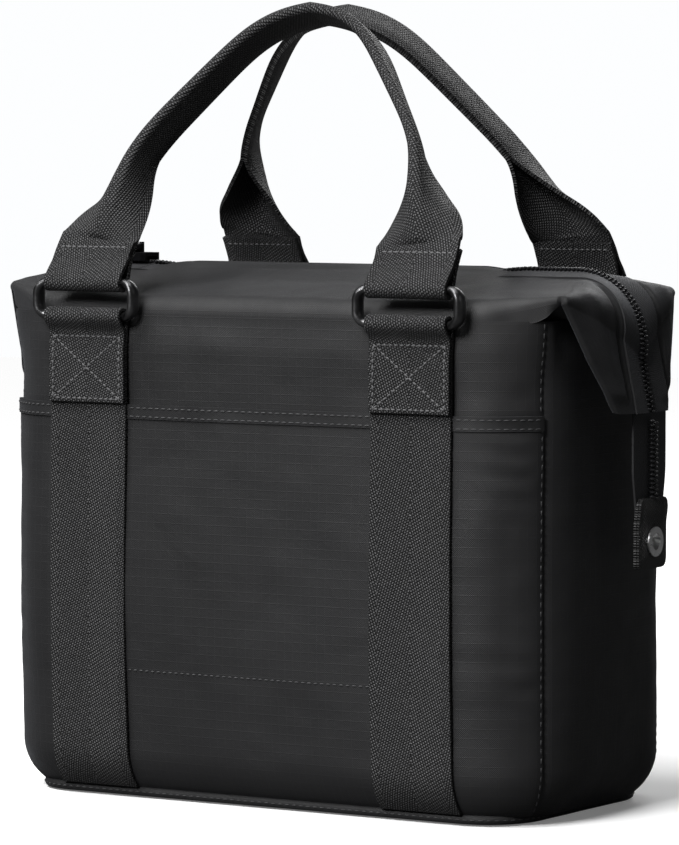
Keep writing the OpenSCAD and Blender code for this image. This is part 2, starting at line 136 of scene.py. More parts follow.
def thinCloth(name, bm, material, ply):
    # thickness for a sheet with tight folds, its free edges kept crisp
    for e in bm.edges:
        e.smooth = not e.is_boundary
    for face in bm.faces:
        face.smooth = True
    piece = newPiece(name, bm, material)
    sheet = piece.data
    shell = piece.modifiers.new("ply", "SOLIDIFY")
    shell.thickness = ply * mm
    shell.offset = -1
    graph = bpy.context.evaluated_depsgraph_get()
    piece.data = bpy.data.meshes.new_from_object(piece.evaluated_get(graph))
    piece.modifiers.clear()
    bpy.data.meshes.remove(sheet)
    return piece


def weld(bm, gap=0.02):
    bmesh.ops.remove_doubles(bm, verts=bm.verts[:], dist=gap * mm)


def beadMesh(around, along):
    # small rounded bead, stretched into a stitch or a zip tooth
    bm = bmesh.new()
    bmesh.ops.create_uvsphere(bm, u_segments=around, v_segments=along, radius=1.0)
    mesh = bpy.data.meshes.new("bead")
    bm.to_mesh(mesh)
    bm.free()
    return mesh


def addBead(bm, bead, spot, forward, normal, halfSizes, aside=0.0):
    forward = forward.normalized()
    sideways = normal.cross(forward).normalized()
    turn = Matrix((forward, sideways, forward.cross(sideways))).transposed().to_4x4()
    place = Matrix.Translation((spot + sideways * aside) * mm) @ turn
    shape = bead.copy()
    shape.transform(place @ Matrix.Scale(mm, 4) @ Matrix.Diagonal((*halfSizes, 1)))
    bm.from_mesh(shape)
    bpy.data.meshes.remove(shape)


def settle(piece, body=None, across=None, nodes=()):
    # ride on one body, or with across given stay where it is drawn, baked into the mesh; across =
    # (a, b, start, end) in millimetres is not used beyond being given
    if across:
        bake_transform(piece)
    else:
        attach(piece, body)
    if nodes:
        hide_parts(*nodes)
    return piece


def smoothStep(x, low=0.0, high=1.0):
    t = min(1.0, max(0.0, (x - low) / (high - low)))
    return t * t * (3 - 2 * t)


def mix(a, b, t):
    return a + (b - a) * t


def bump(x, centre, width):
    return math.exp(-((x - centre) / width) ** 2)


def wave(x, y, z, scale, seed=0.0):
    return noise.noise(Vector((x / scale + seed, y / scale - seed, z / scale + 2 * seed)))


def pathLengths(path):
    total, lengths = 0.0, [0.0]
    for a, b in zip(path, path[1:]):
        total += math.dist(a, b)
        lengths.append(total)
    return lengths


def alongPath(path, lengths, at):
    i = 1
    while i < len(lengths) - 1 and lengths[i] < at:
        i += 1
    t = (at - lengths[i - 1]) / max(1e-9, lengths[i] - lengths[i - 1])
    return [mix(a, b, t) for a, b in zip(path[i - 1], path[i])]


stitch = {"length": 2.6, "pitch": 3.7, "width": 0.36, "height": 0.28, "around": 6, "along": 4}
threadBead = beadMesh(stitch["around"], stitch["along"])


def sewLine(bm, points, pitch=stitch["pitch"], length=stitch["length"], width=stitch["width"]):
    # dashes of thread along a path of (place, outward) pairs
    travelled, nextAt = 0.0, pitch / 2
    for (p0, n0), (p1, n1) in zip(points, points[1:]):
        normal = (n0 + n1).normalized()
        step = (p1 - p0).length
        while step > 0 and nextAt <= travelled + step:
            spot = p0.lerp(p1, (nextAt - travelled) / step)
            addBead(bm, threadBead, spot, p1 - p0, normal, (length / 2, width, stitch["height"]))
            nextAt += pitch
        travelled += step


# materials

def nodeKit(tree):
    def add(kind, inputs=(), **settings):
        node = tree.nodes.new(kind)
        for key, value in settings.items():
            setattr(node, key, value)
        for key, value in dict(inputs).items():
            if isinstance(value, bpy.types.NodeSocket):
                tree.links.new(value, node.inputs[key])
            else:
                node.inputs[key].default_value = value
        return node
    return add


def newGroup(name, inputs, outputs):
    group = bpy.data.node_groups.new(name, "ShaderNodeTree")
    for label, kind, value in inputs:
        socket = group.interface.new_socket(label, in_out="INPUT", socket_type=kind)
        if value is not None:
            socket.default_value = value
    for label, kind in outputs:
        group.interface.new_socket(label, in_out="OUTPUT", socket_type=kind)
    entry = group.nodes.new("NodeGroupInput")
    leave = group.nodes.new("NodeGroupOutput")
    return group, nodeKit(group), entry.outputs, leave.inputs


def math2(add, kind, a, b=0.5):
    return add("ShaderNodeMath", {0: a, 1: b}, operation=kind).outputs[0]


def plus(add, a, b):
    return math2(add, "ADD", a, b)


def times(add, a, b):
    return math2(add, "MULTIPLY", a, b)


def remap(add, value, low, high, outLow, outHigh):
    return add("ShaderNodeMapRange", {0: value, 1: low, 2: high, 3: outLow, 4: outHigh}).outputs[0]


def makePlainWeave():
    # over and under threads on the cloth's own UV, with a heavier thread every few rows; Shade is
    # painted shade, darker between the threads and lighter on their raised tops
    group, add, given, out = newGroup(
        "plainWeave",
        [("Vector", "NodeSocketVector", None), ("Threads per metre", "NodeSocketFloat", 2600.0),
         ("Rip threads per metre", "NodeSocketFloat", 210.0),
         ("Rip strength", "NodeSocketFloat", 0.5)],
        [("Height", "NodeSocketFloat"), ("Shade", "NodeSocketFloat")])
    axes = add("ShaderNodeSeparateXYZ", {0: given["Vector"]}).outputs
    waves, rips = [], []
    for axis in (axes[0], axes[1]):
        turns = times(add, axis, given["Threads per metre"])
        waves.append(math2(add, "SINE", times(add, turns, math.pi)))
        saw = math2(add, "PINGPONG", times(add, axis, given["Rip threads per metre"]), 0.5)
        rips.append(remap(add, saw, 0.0, 0.07, 1.0, 0.0))
    rip = times(add, math2(add, "MAXIMUM", *rips), given["Rip strength"])
    slub = add("ShaderNodeTexNoise", {"Vector": given["Vector"], "Scale": 900.0, "Detail": 3.0})
    height = plus(add, times(add, times(add, *waves), 0.35), rip)
    height = plus(add, height, times(add, slub.outputs["Fac"], 0.5))
    group.links.new(height, out["Height"])
    group.links.new(remap(add, height, -0.2, 1.2, 0.0, 1.0), out["Shade"])
    return group


def makeWebbingWeave():
    # raised floats in slanted rows that meet at the middle, turned the other way at the edges; the
    # second output is painted glint, light specks on the tops of the floats
    group, add, given, out = newGroup(
        "webbingWeave",
        [("Vector", "NodeSocketVector", None), ("Width", "NodeSocketFloat", 0.038),
         ("Floats per metre", "NodeSocketFloat", 1000.0), ("Slant", "NodeSocketFloat", 0.32),
         ("Edge share", "NodeSocketFloat", 0.8)],
        [("Height", "NodeSocketFloat"), ("PaintedGlint", "NodeSocketFloat")])
    axes = add("ShaderNodeSeparateXYZ", {0: given["Vector"]}).outputs
    centred = math2(add, "SUBTRACT", math2(add, "DIVIDE", axes[0], given["Width"]), 0.5)
    away = times(add, math2(add, "ABSOLUTE", centred), 2.0)
    body = math2(add, "LESS_THAN", away, given["Edge share"])
    way = remap(add, body, 0.0, 1.0, -1.0, 1.0)
    distance = times(add, times(add, away, given["Width"]), 0.5)
    lean = times(add, times(add, axes[1], given["Slant"]), way)
    across = times(add, plus(add, distance, lean), given["Floats per metre"])
    along = times(add, axes[1], given["Floats per metre"])
    step = plus(add, along, times(add, math2(add, "FLOOR", across), 0.5))
    lobes = [math2(add, "ABSOLUTE", math2(add, "SINE", times(add, t, math.pi)))
             for t in (across, step)]
    height = times(add, math2(add, "POWER", lobes[0], 0.8), math2(add, "POWER", lobes[1], 0.6))
    group.links.new(height, out["Height"])
    # painted glint: light colour laid on the highest floats, broken up by noise and left off the
    # very edges
    glintNoise = add("ShaderNodeTexNoise", {"Vector": given["Vector"], "Scale": 1800.0, "Detail": 2.0})
    glintMask = times(add, remap(add, glintNoise.outputs["Fac"], 0.35, 0.7, 0.0, 1.0),
                remap(add, height, 0.5, 0.95, 0.0, 1.0))
    group.links.new(times(add, glintMask, math2(add, "LESS_THAN", away, 0.99)), out["PaintedGlint"])
    return group


def makeHandling():
    # broad uneven tone and soft creases from use, on the object's own coordinates
    group, add, given, out = newGroup(
        "handling",
        [("Vector", "NodeSocketVector", None), ("Patch size", "NodeSocketFloat", 9.0),
         ("Crease size", "NodeSocketFloat", 60.0)],
        [("Tone", "NodeSocketFloat"), ("Crease", "NodeSocketFloat")])

    def noiseOf(scale, detail, distortion):
        values = {"Vector": given["Vector"], "Scale": scale, "Detail": detail,
                  "Distortion": distortion}
        return add("ShaderNodeTexNoise", values).outputs["Fac"]

    broad = noiseOf(given["Patch size"], 4.0, 0.0)
    group.links.new(remap(add, broad, 0.3, 0.7, 0.0, 1.0), out["Tone"])
    group.links.new(noiseOf(given["Crease size"], 5.0, 0.6), out["Crease"])
    return group


plainWeave = makePlainWeave()
webbingWeave = makeWebbingWeave()
handling = makeHandling()


def useGroup(add, group, vector, values):
    return add("ShaderNodeGroup", {"Vector": vector, **values}, node_tree=group).outputs


def newMaterial(name):
    material = bpy.data.materials.new(name)
    material.use_nodes = True
    tree = material.node_tree
    tree.nodes.clear()
    return material, nodeKit(tree), tree.nodes.new("ShaderNodeTexCoord").outputs


def shade(material, add, inputs):
    shader = add("ShaderNodeBsdfPrincipled", inputs)
    add("ShaderNodeOutputMaterial", {"Surface": shader.outputs[0]})
    return material


def colourBlend(add, factor, dark, light):
    ends = {0: factor, 6: (*dark, 1), 7: (*light, 1)}
    return add("ShaderNodeMix", ends, data_type="RGBA").outputs[2]


def relief(add, strength, distance, height, under=()):
    values = {"Strength": strength, "Distance": distance, "Height": height, **dict(under)}
    return add("ShaderNodeBump", values).outputs[0]


def clothMaterial(name, look):
    material, add, coords = newMaterial(name)
    weave = useGroup(add, plainWeave, coords["UV"],
                     {"Threads per metre": look["threads"], "Rip threads per metre": look["rips"],
                      "Rip strength": look["ripStrength"]})
    worn = useGroup(add, handling, coords["Object"],
                    {"Patch size": look["patch"], "Crease size": look["crease"]})
    # colour: painted shade between the threads, mixed with random tone from handling
    tone = plus(add, times(add, weave["Shade"], 0.6), times(add, worn["Tone"], 0.4))
    creases = relief(add, look["creaseStrength"], 0.0012, worn["Crease"])
    threads = relief(add, look["weaveStrength"], 0.00025, weave["Height"], {"Normal": creases})
    rough = look["rough"]
    return shade(material, add, {
        "Base Color": colourBlend(add, tone, look["dark"], look["light"]),
        "Roughness": remap(add, worn["Crease"], 0.3, 0.7, rough - 0.05, rough + 0.06),
        "Sheen Weight": look["sheen"], "Sheen Roughness": 0.4,
        "Sheen Tint": (0.75, 0.78, 0.85, 1), "Specular IOR Level": look["gloss"],
        "Normal": threads})


def webbingMaterial(name, look):
    material, add, coords = newMaterial(name)
    weave = useGroup(add, webbingWeave, coords["UV"],
                     {"Width": look["width"], "Floats per metre": look["floats"],
                      "Slant": look["slant"]})
    worn = useGroup(add, handling, coords["Object"],
                    {"Patch size": look["patch"], "Crease size": look["crease"]})
    # the webbing's colour is painted glint on the float tops, with a little random tone
    tone = plus(add, times(add, weave["PaintedGlint"], 0.95), times(add, worn["Tone"], 0.05))
    rough = look["rough"]
    return shade(material, add, {
        "Base Color": colourBlend(add, tone, look["dark"], look["light"]),
        "Roughness": remap(add, weave["Height"], 0.0, 1.0, rough + 0.15, rough - 0.05),
        "Sheen Weight": look["sheen"], "Sheen Roughness": 0.35,
        "Specular IOR Level": look["gloss"],
        "Normal": relief(add, look["weaveStrength"], 0.0005, weave["Height"])})


def threadMaterial(name, dark, light):
    # two plies twisted together; the colour is painted shade, darker in the grooves between the
    # plies and lighter on their crests
    material, add, coords = newMaterial(name)
    twist = add("ShaderNodeTexWave", {"Vector": coords["Object"], "Scale": 1400.0,
                                      "Distortion": 1.5}).outputs["Fac"]
    return shade(material, add, {
        "Base Color": colourBlend(add, twist, dark, light), "Roughness": 0.5,
        "Sheen Weight": 0.1, "Normal": relief(add, 0.4, 0.0001, twist)})


def wornMaterial(name, look):
    # metal, nylon or film: a fine grain, softer and lighter where it is rubbed
    material, add, coords = newMaterial(name)
    worn = useGroup(add, handling, coords["Object"],
                    {"Patch size": look["patch"], "Crease size": look["crease"]})
    smoothest, roughest = look["rough"]
    return shade(material, add, {
        "Base Color": colourBlend(add, worn["Tone"], look["dark"], look["light"]),
        "Metallic": look["metallic"],
        "Roughness": remap(add, worn["Crease"], 0.3, 0.7, smoothest, roughest),
        "Normal": relief(add, look["grain"], look["grainDepth"], worn["Crease"])})


def foamMaterial(name, dark, light):
    material, add, coords = newMaterial(name)
    # colour from the cell distance is painted shade, darker in the hollow of each cell and lighter
    # on the cell walls
    cells = add("ShaderNodeTexVoronoi", {"Vector": coords["Object"], "Scale": 900.0})
    wall = cells.outputs["Distance"]
    return shade(material, add, {
        "Base Color": colourBlend(add, wall, dark, light), "Roughness": 0.85,
        "Normal": relief(add, 0.5, 0.0004, wall)})


shellLook = {
    "threads": 2400.0, "rips": 260.0, "ripStrength": 0.4, "patch": 7.0, "crease": 45.0,
    "dark": (0.006, 0.006, 0.0065), "light": (0.02, 0.02, 0.021), "rough": 0.56,
    "sheen": 0.06, "gloss": 0.35, "creaseStrength": 0.35, "weaveStrength": 0.5,
}
hemLook = dict(shellLook, rips=0.0, ripStrength=0.0, crease=70.0)
tapeLook = dict(shellLook, threads=1500.0, rips=0.0, ripStrength=0.0, rough=0.7, sheen=0.1,
                dark=(0.003, 0.003, 0.0035), light=(0.03, 0.03, 0.032), weaveStrength=0.9)
webLook = {
    "width": 0.038, "floats": 850.0, "slant": 0.32, "patch": 10.0, "crease": 90.0,
    "dark": (0.0015, 0.0015, 0.0017), "light": (0.13, 0.13, 0.134), "rough": 0.5, "sheen": 0.0,
    "gloss": 0.4, "weaveStrength": 1.0,
}
metalLook = {"patch": 140.0, "crease": 420.0, "metallic": 1.0, "grain": 0.12, "grainDepth": 0.0002}
nylonLook = {
    "patch": 220.0, "crease": 900.0, "metallic": 0.0, "grain": 0.1, "grainDepth": 0.0001,
    "dark": (0.006, 0.006, 0.007), "light": (0.02, 0.02, 0.022), "rough": (0.29, 0.43),
}
filmLook = {
    "patch": 25.0, "crease": 120.0, "metallic": 0.6, "grain": 0.5, "grainDepth": 0.001,
    "dark": (0.42, 0.44, 0.46), "light": (0.6, 0.62, 0.64), "rough": (0.28, 0.42),
}
ringLook = dict(metalLook, dark=(0.05, 0.05, 0.052), light=(0.15, 0.15, 0.153), rough=(0.29, 0.42))
eyeletLook = dict(metalLook, dark=(0.7, 0.7, 0.71), light=(0.95, 0.95, 0.95), rough=(0.25, 0.38))
sliderLook = dict(metalLook, dark=(0.012, 0.012, 0.013), light=(0.05, 0.05, 0.055),
                  rough=(0.25, 0.38))
shellCloth = clothMaterial("black nylon shell", shellLook)
hemCloth = clothMaterial("black nylon hem", hemLook)
tapeCloth = clothMaterial("zip tape cloth", tapeLook)
webbing = webbingMaterial("black webbing", webLook)
thread = threadMaterial("black thread", (0.008, 0.008, 0.009), (0.045, 0.045, 0.047))
heavyThread = threadMaterial("heavy waxed thread", (0.035, 0.035, 0.036), (0.12, 0.12, 0.124))
teethNylon = wornMaterial("zip teeth nylon", nylonLook)
ringSteel = wornMaterial("gunmetal ring", ringLook)
eyeletNickel = wornMaterial("nickel eyelet", eyeletLook)
sliderMetal = wornMaterial("black slider", sliderLook)
liningFilm = wornMaterial("lining film", filmLook)
paddingFoam = foamMaterial("closed cell foam", (0.62, 0.64, 0.66), (0.8, 0.81, 0.83))

for nodeName, metal in [("eyelet_left", eyeletNickel), ("eyelet_right", eyeletNickel),
                        ("zip_slider", sliderMetal), ("zip_puller", sliderMetal)]:
    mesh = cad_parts[nodeName].data
    mesh.materials.clear()
    mesh.materials.append(metal)
print("materials made")


# walls

# pairs are where a change starts and where it is complete, or a place and how far it reaches
walls = {
    "foot": 3.0, "frontBulge": 4.2, "sideBulge": 2.2, "frontReach": 118.0, "sideReach": 50.0,
    "rise": (4, 75), "slimShare": 0.55, "slim": (70, 185), "top": (188, 204),
    "strapHold": 0.45, "strap": (79.0, 20.0), "shoulder": 1.3, "shoulderAt": (104, 16),
    "flare": 3.6, "flareFrom": 176.0, "frontFlare": 14.0, "sideFlare": 5.0,
    "seamDip": 0.9, "seamDipWidth": 1.5, "dipStart": (3, 9),
    "pucker": 0.5, "puckerPitch": 10.5, "puckerReach": 15.0, "puckerFrom": (3, 10),
    "puckerLow": (30, 70), "puckerHigh": (150, 195), "puckerPastSeam": 0.2,
    "slouch": 1.1, "slouchSize": 70.0, "ripple": 0.28, "rippleSize": 17.0,
    "crumpleLow": (3, 25), "crumpleHigh": (192, 204),
}


def facingRun(s):
    # how far s is from the middle of the front or back face, whichever is nearer
    s = abs((s + 2 * quarter) % (4 * quarter) - 2 * quarter)
    return s if s < quarter else 2 * quarter - s


def planPoint(s, inset):
    # point and outward direction on the plan outline, s measured from the middle of the front
    s = (s + 2 * quarter) % (4 * quarter) - 2 * quarter
    side = 1 if s >= 0 else -1
    s = abs(s)
    backward = s > quarter
    if backward:
        s = 2 * quarter - s
    radius = bag["cornerRadius"] - inset
    arc = bag["cornerRadius"] * math.pi / 2
    if s < bag["cornerX"]:
        x, y, nx, ny = s, bag["halfDepth"] - inset, 0.0, 1.0
    elif s < bag["cornerX"] + arc:
        a = (s - bag["cornerX"]) / bag["cornerRadius"]
        nx, ny = math.sin(a), math.cos(a)
        x, y = bag["cornerX"] + radius * nx, bag["cornerY"] + radius * ny
    else:
        x, y, nx, ny = bag["halfWidth"] - inset, quarter - s, 1.0, 0.0
    if not backward:
        y, ny = -y, -ny
    return x * side, y, nx * side, ny


def profilePoint(h):
    # inset and height up the wall; h is 0 where the wall turns upright, negative round the base
    r = bag["baseRadius"]
    if h < 0:
        a = -h / r
        return r * (1 - math.cos(a)), r * (1 - math.sin(a)), math.cos(a)
    return 0.0, r + h, 1.0


def heightToRun(z):
    r = bag["baseRadius"]
    return z - r if z >= r else -r * math.asin((r - z) / r)


def wallSwell(s, z):
    # the filled bag's bulge, held in by the straps and flared at the top of the corner seams
    facing = facingRun(s)
    rise = smoothStep(z, *walls["rise"]) * (1 - walls["slimShare"] * smoothStep(z, *walls["slim"]))
    rise *= 1 - smoothStep(z, *walls["top"])
    flare = walls["flare"] * smoothStep(z, walls["flareFrom"], bag["wallTop"])
    if facing < seam:
        across = math.cos(min(1, facing / walls["frontReach"]) * math.pi / 2) ** 0.8
        hold = 1 - walls["strapHold"] * bump(facing, *walls["strap"])
        swell = walls["frontBulge"] * across * rise * hold
        swell += walls["shoulder"] * bump(facing, *walls["shoulderAt"]) * rise
        return swell + flare * bump(facing, seam, walls["frontFlare"])
    across = math.cos(min(1, (quarter - facing) / walls["sideReach"]) * math.pi / 2) ** 0.8
    return walls["sideBulge"] * across * rise + flare * bump(facing, seam, walls["sideFlare"])


def wallCrumple(s, z):
    # slouch and ripple all over, a dip along each corner seam and puckers beside it
    x, y = planPoint(s, 0)[:2]
    away = facingRun(s) - seam
    out = walls["slouch"] * wave(x, y, z, walls["slouchSize"], 3.1)
    out += walls["ripple"] * wave(x, y, z * 1.6, walls["rippleSize"], 7.7)
    out *= smoothStep(z, *walls["crumpleLow"]) * (1 - smoothStep(z, *walls["crumpleHigh"]))
    dip = walls["seamDip"] * bump(away, 0, walls["seamDipWidth"]) * smoothStep(z, *walls["dipStart"])
    reach = math.exp(-abs(away) / walls["puckerReach"])
    reach *= 1.0 if away < 0 else walls["puckerPastSeam"]
    level = z + 3 * wave(x, y, z, 30, 1.3)
    crease = math.sin(2 * math.pi * level / walls["puckerPitch"] + 4 * wave(x, y, z, 45, 5.5))
    strength = smoothStep(z, *walls["puckerLow"]) * (1 - smoothStep(z, *walls["puckerHigh"]))
    uneven = 0.6 + 1.2 * wave(x, y, z, 38, 8.2)
    pucker = walls["pucker"] * crease * uneven * reach * strength
    return out - dip + pucker * smoothStep(abs(away), *walls["puckerFrom"])


def wallPoint(s, z, lift=0.0, crumpled=1.0):
    # lift is outward from the outer face of the shell
    h = heightToRun(z)
    inset, height, level = profilePoint(h)
    x, y, nx, ny = planPoint(s, inset)
    out = lift + (wallSwell(s, z) + wallCrumple(s, z) * crumpled)
    down = math.sqrt(max(0.0, 1 - level * level))
    return (x + nx * out * level, y + ny * out * level, height - out * down)


def wallPatch(name, sFrom, sTo, zFrom, zTo, lift, thickness, material, nodes,
              step=2.2, crumpled=1.0, offset=-1.0):
    runFrom, runTo = heightToRun(zFrom), heightToRun(zTo)

    def place(u, w):
        h = mix(runFrom, runTo, w)
        return wallPoint(mix(sFrom, sTo, u), profilePoint(h)[1], lift, crumpled)

    wide, tall = abs(sTo - sFrom), runTo - runFrom
    bm = clothPatch(int(wide / step), int(tall / step), place, wide, tall)
    piece = finishPiece(name, bm, material, thickness, offset)
    return settle(piece, body="bag", nodes=nodes)


for name, sFrom, sTo, top, node in [
        ("front_cloth", -seam, seam, bag["wallTop"], "front_panel"),
        ("back_cloth", 2 * quarter - seam, 2 * quarter + seam, bag["wallTop"], "back_panel"),
        ("side_cloth_right", seam, 2 * quarter - seam, sideHigh.z, "side_panel_right"),
        ("side_cloth_left", -2 * quarter + seam, -seam, sideHigh.z, "side_panel_left")]:
    wallPatch(name, sFrom, sTo, walls["foot"], top, 0, bag["skin"], shellCloth, [node])

# pocket: one layer on the front with a folded hem at its mouth
pocket = {"lift": 1.15, "thick": 1.0, "hemLift": 1.7, "hemThick": 1.5, "edge": 0.6,
          "rows": (1.4, 5.0), "lowSeam": 55.0}
pocketHalf = seam - pocket["edge"]
wallPatch("pocket_cloth", -pocketHalf, pocketHalf, bindingHigh.z + 0.2, pocketHigh.z + 1,
          pocket["lift"], pocket["thick"], shellCloth, ["pocket_panel"])
wallPatch("pocket_hem_band", -pocketHalf, pocketHalf, pocketHigh.z, hemHigh.z,
          pocket["hemLift"], pocket["hemThick"], hemCloth, ["pocket_hem"], step=1.5)
print("walls made")


# base: a flat sheet with rolled edges that meets the walls
def basePoint(u, w):
    a, b = 2 * u - 1, 2 * w - 1
    reach = max(abs(a), abs(b), 1e-9)
    scale = 1 / max(1e-9, (abs(a) ** 6 + abs(b) ** 6) ** (1 / 6)) * reach
    wallInset = profilePoint(heightToRun(walls["foot"]))[0]
    x = a * scale * (bag["halfWidth"] - wallInset)
    y = b * scale * (bag["halfDepth"] - wallInset)
    edge = smoothStep(reach, 0.86, 1.0)
    return (x, y, edge * (walls["foot"] - 0.2))


baseWide, baseDeep = 2 * bag["halfWidth"] - 20, 2 * bag["halfDepth"] - 20
base = finishPiece("base_cloth", clothPatch(96, 56, basePoint, baseWide, baseDeep), shellCloth,
                   bag["skin"])
settle(base, body="bag", nodes=["base_panel"])

# binding: a flat folded band standing out round the foot of the walls
binding = {"inset": 5.6, "sideInset": 13.0, "low": bindingLow.z, "high": bindingHigh.z, "depth": 5.5}


def bindingInset(s):
    # the band slips under the roll of the side walls
    under = smoothStep(facingRun(s), seam - 30, seam + 22)
    return mix(binding["inset"], binding["sideInset"], under)


def bindingPoint(u, w):
    s = mix(-2 * quarter, 2 * quarter, u)
    x, y, nx, ny = planPoint(s, bindingInset(s))
    depth, low, high = binding["depth"], binding["low"], binding["high"]
    ring = [(-depth, low), (-0.6, low), (0.0, low + 0.5), (0.25, mix(low, high, 0.5)),
            (0.0, high - 0.5), (-0.6, high), (-depth, high + 1.2)]
    at = w * (len(ring) - 1)
    i = min(int(at), len(ring) - 2)
    out, z = (mix(a, b, at - i) for a, b in zip(ring[i], ring[i + 1]))
    out += 0.25 * wave(x, y, 0, 20, 2.2)
    return (x + nx * out, y + ny * out, z)


bm = clothPatch(360, 6, bindingPoint, 4 * quarter, 14, inside=(0, 0, 2))
weld(bm)
settle(finishPiece("binding_band", bm, hemCloth), body="bag", nodes=["base_binding"])
print("base made")


# padding and lining

padding = {"lift": -2.4, "thick": 3.6, "foot": 8.0, "short": 0.5, "baseRise": 6.0}
corner = bag["cornerX"] + bag["cornerRadius"] * math.pi / 4
for name, sFrom, sTo, top, node in [
        ("front_pad", -corner, corner, bag["wallTop"], "front_foam"),
        ("back_pad", 2 * quarter - corner, 2 * quarter + corner, bag["wallTop"], "back_foam"),
        ("side_pad_right", corner, 2 * quarter - corner, sideHigh.z, "side_foam_right"),
        ("side_pad_left", -2 * quarter + corner, -corner, sideHigh.z, "side_foam_left")]:
    pad = wallPatch(name, sFrom, sTo, padding["foot"], top - padding["short"], padding["lift"],
                    padding["thick"], paddingFoam, [node], step=6, crumpled=0.0)


def basePadPoint(u, w):
    x, y, z = basePoint(mix(0.05, 0.95, u), mix(0.06, 0.94, w))
    return (x, y, z + padding["baseRise"])


basePad = finishPiece("base_pad", clothPatch(30, 18, basePadPoint, baseWide, baseDeep), paddingFoam,
                      padding["thick"])
settle(basePad, body="bag", nodes=["base_foam"])

lining = {"lift": -6.2, "thick": 0.8, "floorShare": 0.28, "foot": 9.0, "floorZ": 7.2, "short": 1.5}


def liningPoint(u, w):
    # from the middle of the floor out to the walls and up to the mouth
    s = mix(-2 * quarter, 2 * quarter, u)
    share = lining["floorShare"]
    if w > share:
        z = mix(lining["foot"], bag["wallTop"] - lining["short"], (w - share) / (1 - share))
        x, y, z = wallPoint(s, z, lining["lift"], 0.0)
    else:
        x, y, z = wallPoint(s, lining["foot"], lining["lift"], 0.0)
        scale = w / share
        x, y = x * scale, y * scale
        z = mix(lining["floorZ"], z, smoothStep(scale, 0.85, 1.0))
    return (x, y, z + 0.5 * wave(x, y, z, 30, 9.1))


bm = clothPatch(240, 110, liningPoint, 4 * quarter, 280)
weld(bm)
settle(finishPiece("lining_bag", bm, liningFilm, lining["thick"]), body="bag",
       nodes=["liner"])
print("inside made")


# roof over the mouth, with the rolled shoulder

roof = {"reach": 92.0, "sag": 1.0, "lipRise": 1.7, "lipGap": 3.4, "easeOut": 25.0,
        "padShares": (0.09, 0.9), "padDrop": 1.4, "padThick": 4.4,
        "liningShares": (0.03, 0.86), "liningDrop": 6.0, "liningThick": 0.8}
roof["rise"] = bag["ridgeTop"] - bag["shoulder"]


def roofHeight(y):
    return bag["shoulder"] + roof["rise"] * (1 - abs(y) / bag["rollY"])


def roofSection(share, drop=0.0):
    # share 0 at the mouth, 1 at the top of the wall; gives distance from the middle and height
    run = math.hypot(bag["rollY"], roof["rise"])
    arc = bag["rollRadius"] * math.pi / 2
    at = share * (run + arc)
    tilt = math.atan2(roof["rise"], bag["rollY"])
    if at < run:
        y = bag["rollY"] * at / run
        return y, roofHeight(y) - drop, math.sin(tilt), math.cos(tilt)
    angle = mix(math.pi / 2 - tilt, 0, (at - run) / arc)
    radius = bag["rollRadius"] - drop
    return (bag["rollY"] + radius * math.cos(angle), bag["wallTop"] + radius * math.sin(angle),
            math.cos(angle), math.sin(angle))


def roofCloth(x, share, face, drop=0.0):
    # sags between the mouth and the shoulder, and lifts into a lip beside the zip
    y, z, ny, nz = roofSection(share, drop)
    lip = 1 - smoothStep(abs(x), roof["reach"] - 22, roof["reach"])
    z += lip * roof["lipRise"] * (1 - smoothStep(y, 8, 30))
    y += lip * roof["lipGap"] * (1 - smoothStep(y, 0, 20))
    edge = smoothStep(share, 0.0, 0.12) * (1 - smoothStep(share, 0.8, 1.0))
    edge *= 1 - smoothStep(abs(x), roof["reach"] - roof["easeOut"], roof["reach"])
    crumple = 0.9 * wave(x, face * y, z, 55, 4.4) + 0.3 * wave(x, face * y, z, 16, 8.8)
    out = edge * (crumple - roof["sag"])
    return (x, face * (y + ny * out), z + nz * out)


def mouthField(side, face, facing):
    # blend direction: full at the middle of the mouth, nothing at its ends and on the shoulder
    gx, gy = -side / roof["reach"], -face / bag["rollY"]
    size = gx * gx + gy * gy
    start = (0, face * bag["rollY"], bag["shoulder"])
    end = (start[0] + gx / size, start[1] + gy / size, start[2])
    return "bag", "mouth_" + facing, start, end


def roofPatch(side, face, steps, shares, drop):
    def place(u, w):
        return roofCloth(side * roof["reach"] * u, mix(*shares, w), face, drop)

    return clothPatch(*steps, place, roof["reach"], bag["rollY"] + 14)


for face, facing in bothFaces:
    for side, hand in bothSides:
        across = mouthField(side, face, facing)
        corner = "%s_%s" % (facing, hand)
        skin = finishPiece("roof_" + corner, roofPatch(side, face, (46, 40), (0, 1), 0.0),
                           shellCloth, bag["skin"])
        settle(skin, across=across, nodes=["mouth_skin_" + facing])
        pad = finishPiece("roof_pad_" + corner,
                          roofPatch(side, face, (24, 24), roof["padShares"], roof["padDrop"]),
                          paddingFoam, roof["padThick"])
        settle(pad, across=across, nodes=["mouth_foam_" + facing])
        film = finishPiece("roof_lining_" + corner,
                           roofPatch(side, face, (30, 24), roof["liningShares"],
                                     roof["liningDrop"]),
                           liningFilm, roof["liningThick"])
        settle(film, across=across, nodes=["mouth_lining_" + facing])
print("roof made")


# side flaps: the roof cloth runs on past the corners, folds over and hangs as a flap

